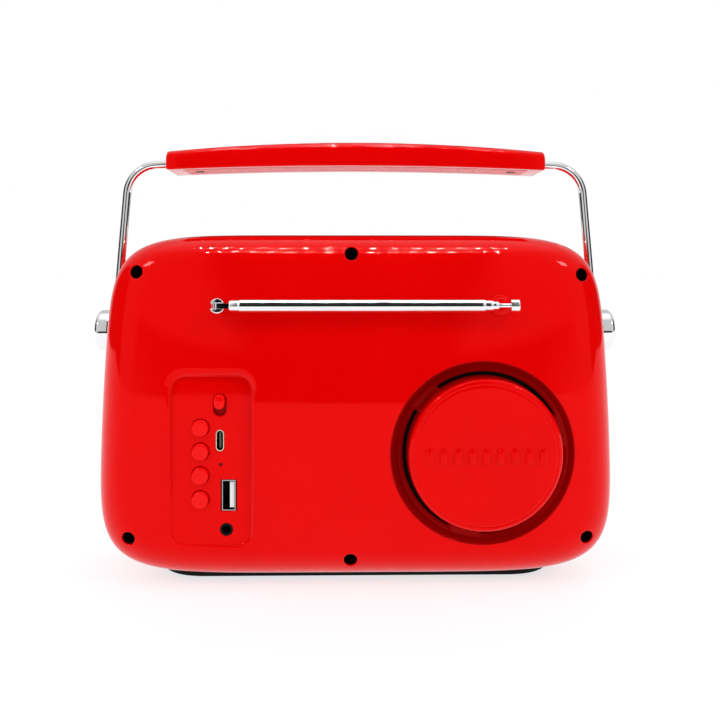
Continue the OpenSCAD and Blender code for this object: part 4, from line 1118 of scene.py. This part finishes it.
# what glossy finishes reflect: pale walls to the left and right, dark gaps, a white ceiling, and a
# dark band just below the horizon behind and in front
place = tree.nodes.new("ShaderNodeTexCoord").outputs["Generated"]
split = add(tree, "ShaderNodeSeparateXYZ", Vector=place)
aside = math_node("ABSOLUTE", split.outputs["X"])
walls = grey_ramp(aside, [(0.0, 0.02), (0.19, 0.02), (0.25, 0.6), (0.55, 0.75), (0.81, 0.6), (0.87, 0.03),
                          (1.0, 0.03)])
ceiling = grey_ramp(split.outputs["Z"], [(0.0, 0.0), (0.84, 0.0), (0.92, 1.0), (1.0, 1.0)])
room_colour = colour_mix(tree, ceiling, walls, (1.15, 1.15, 1.15, 1))
band = grey_ramp(math_node("ADD", math_node("MULTIPLY", split.outputs["Z"], 0.5), 0.5),
                 [(0.0, 1.0), (0.36, 1.0), (0.40, 0.03), (0.49, 0.03), (0.505, 1.0), (1.0, 1.0)])
band_share = grey_ramp(aside, [(0.0, 1.0), (0.38, 1.0), (0.46, 0.0), (1.0, 0.0)])
room_colour = colour_mix(tree, band_share, room_colour, band, "MULTIPLY")

# glossy rays see that room, camera rays a white backdrop, and all others an even soft light
room = add(tree, "ShaderNodeBackground", Color=room_colour, Strength=1.0).outputs[0]
soft = add(tree, "ShaderNodeBackground", Color=(1, 1, 1, 1), Strength=1.0).outputs[0]
path = tree.nodes.new("ShaderNodeLightPath")
lit = mix_shader(path.outputs["Is Glossy Ray"], soft, room)
add(tree, "ShaderNodeOutputWorld", Surface=mix_shader(path.outputs["Is Camera Ray"], lit, soft))


def area_light(name, place, target, size, power):
    light = bpy.data.lights.new(name, "AREA")
    light.shape, light.size, light.energy = "SQUARE", size, power
    obj = bpy.data.objects.new(name, light)
    obj.location = place
    obj.rotation_euler = (Vector(target) - Vector(place)).to_track_quat("-Z", "Y").to_euler()
    bpy.context.scene.collection.objects.link(obj)
    return obj


RADIO = (0, 0, 0.08)
area_light("left_softbox", (0.85, 0.75, 0.95), RADIO, 0.16, 2.0)
area_light("right_softbox", (-0.85, 0.75, 0.95), RADIO, 0.16, 2.0)
front_softbox = area_light("front_softbox", (-0.3, -1.1, 0.9), RADIO, 0.35, 2.5)
front_softbox.visible_glossy = False

# small ceiling lamps that only show as dots of light on glossy edges
LAMP_Z, LAMP_STEP, LAMP_COUNT, LAMP_SIZE, LAMP_POWER = 0.95, 0.034, 17, 0.007, 0.3
for row_y in (0.22, 0.46):
    for k in range(LAMP_COUNT):
        x = (k - (LAMP_COUNT - 1) / 2) * LAMP_STEP
        lamp = area_light("ceiling_lamp", (x, row_y, LAMP_Z), (x, row_y, 0), LAMP_SIZE, LAMP_POWER)
        lamp.visible_diffuse = False

camera_data = bpy.data.cameras.new("photo_camera")
camera_data.lens, camera_data.sensor_width, camera_data.shift_y = 40.375, 36.0, -0.124
camera_data.clip_start, camera_data.clip_end = 0.02, 20
camera = bpy.data.objects.new("photo_camera", camera_data)
camera.location = (0.00404, 0.39049, 0.13937)
camera.rotation_euler = (math.pi / 2, 0, math.radians(179.12))
bpy.context.scene.collection.objects.link(camera)
bpy.context.scene.camera = camera
bpy.context.scene.view_settings.view_transform = "Standard"
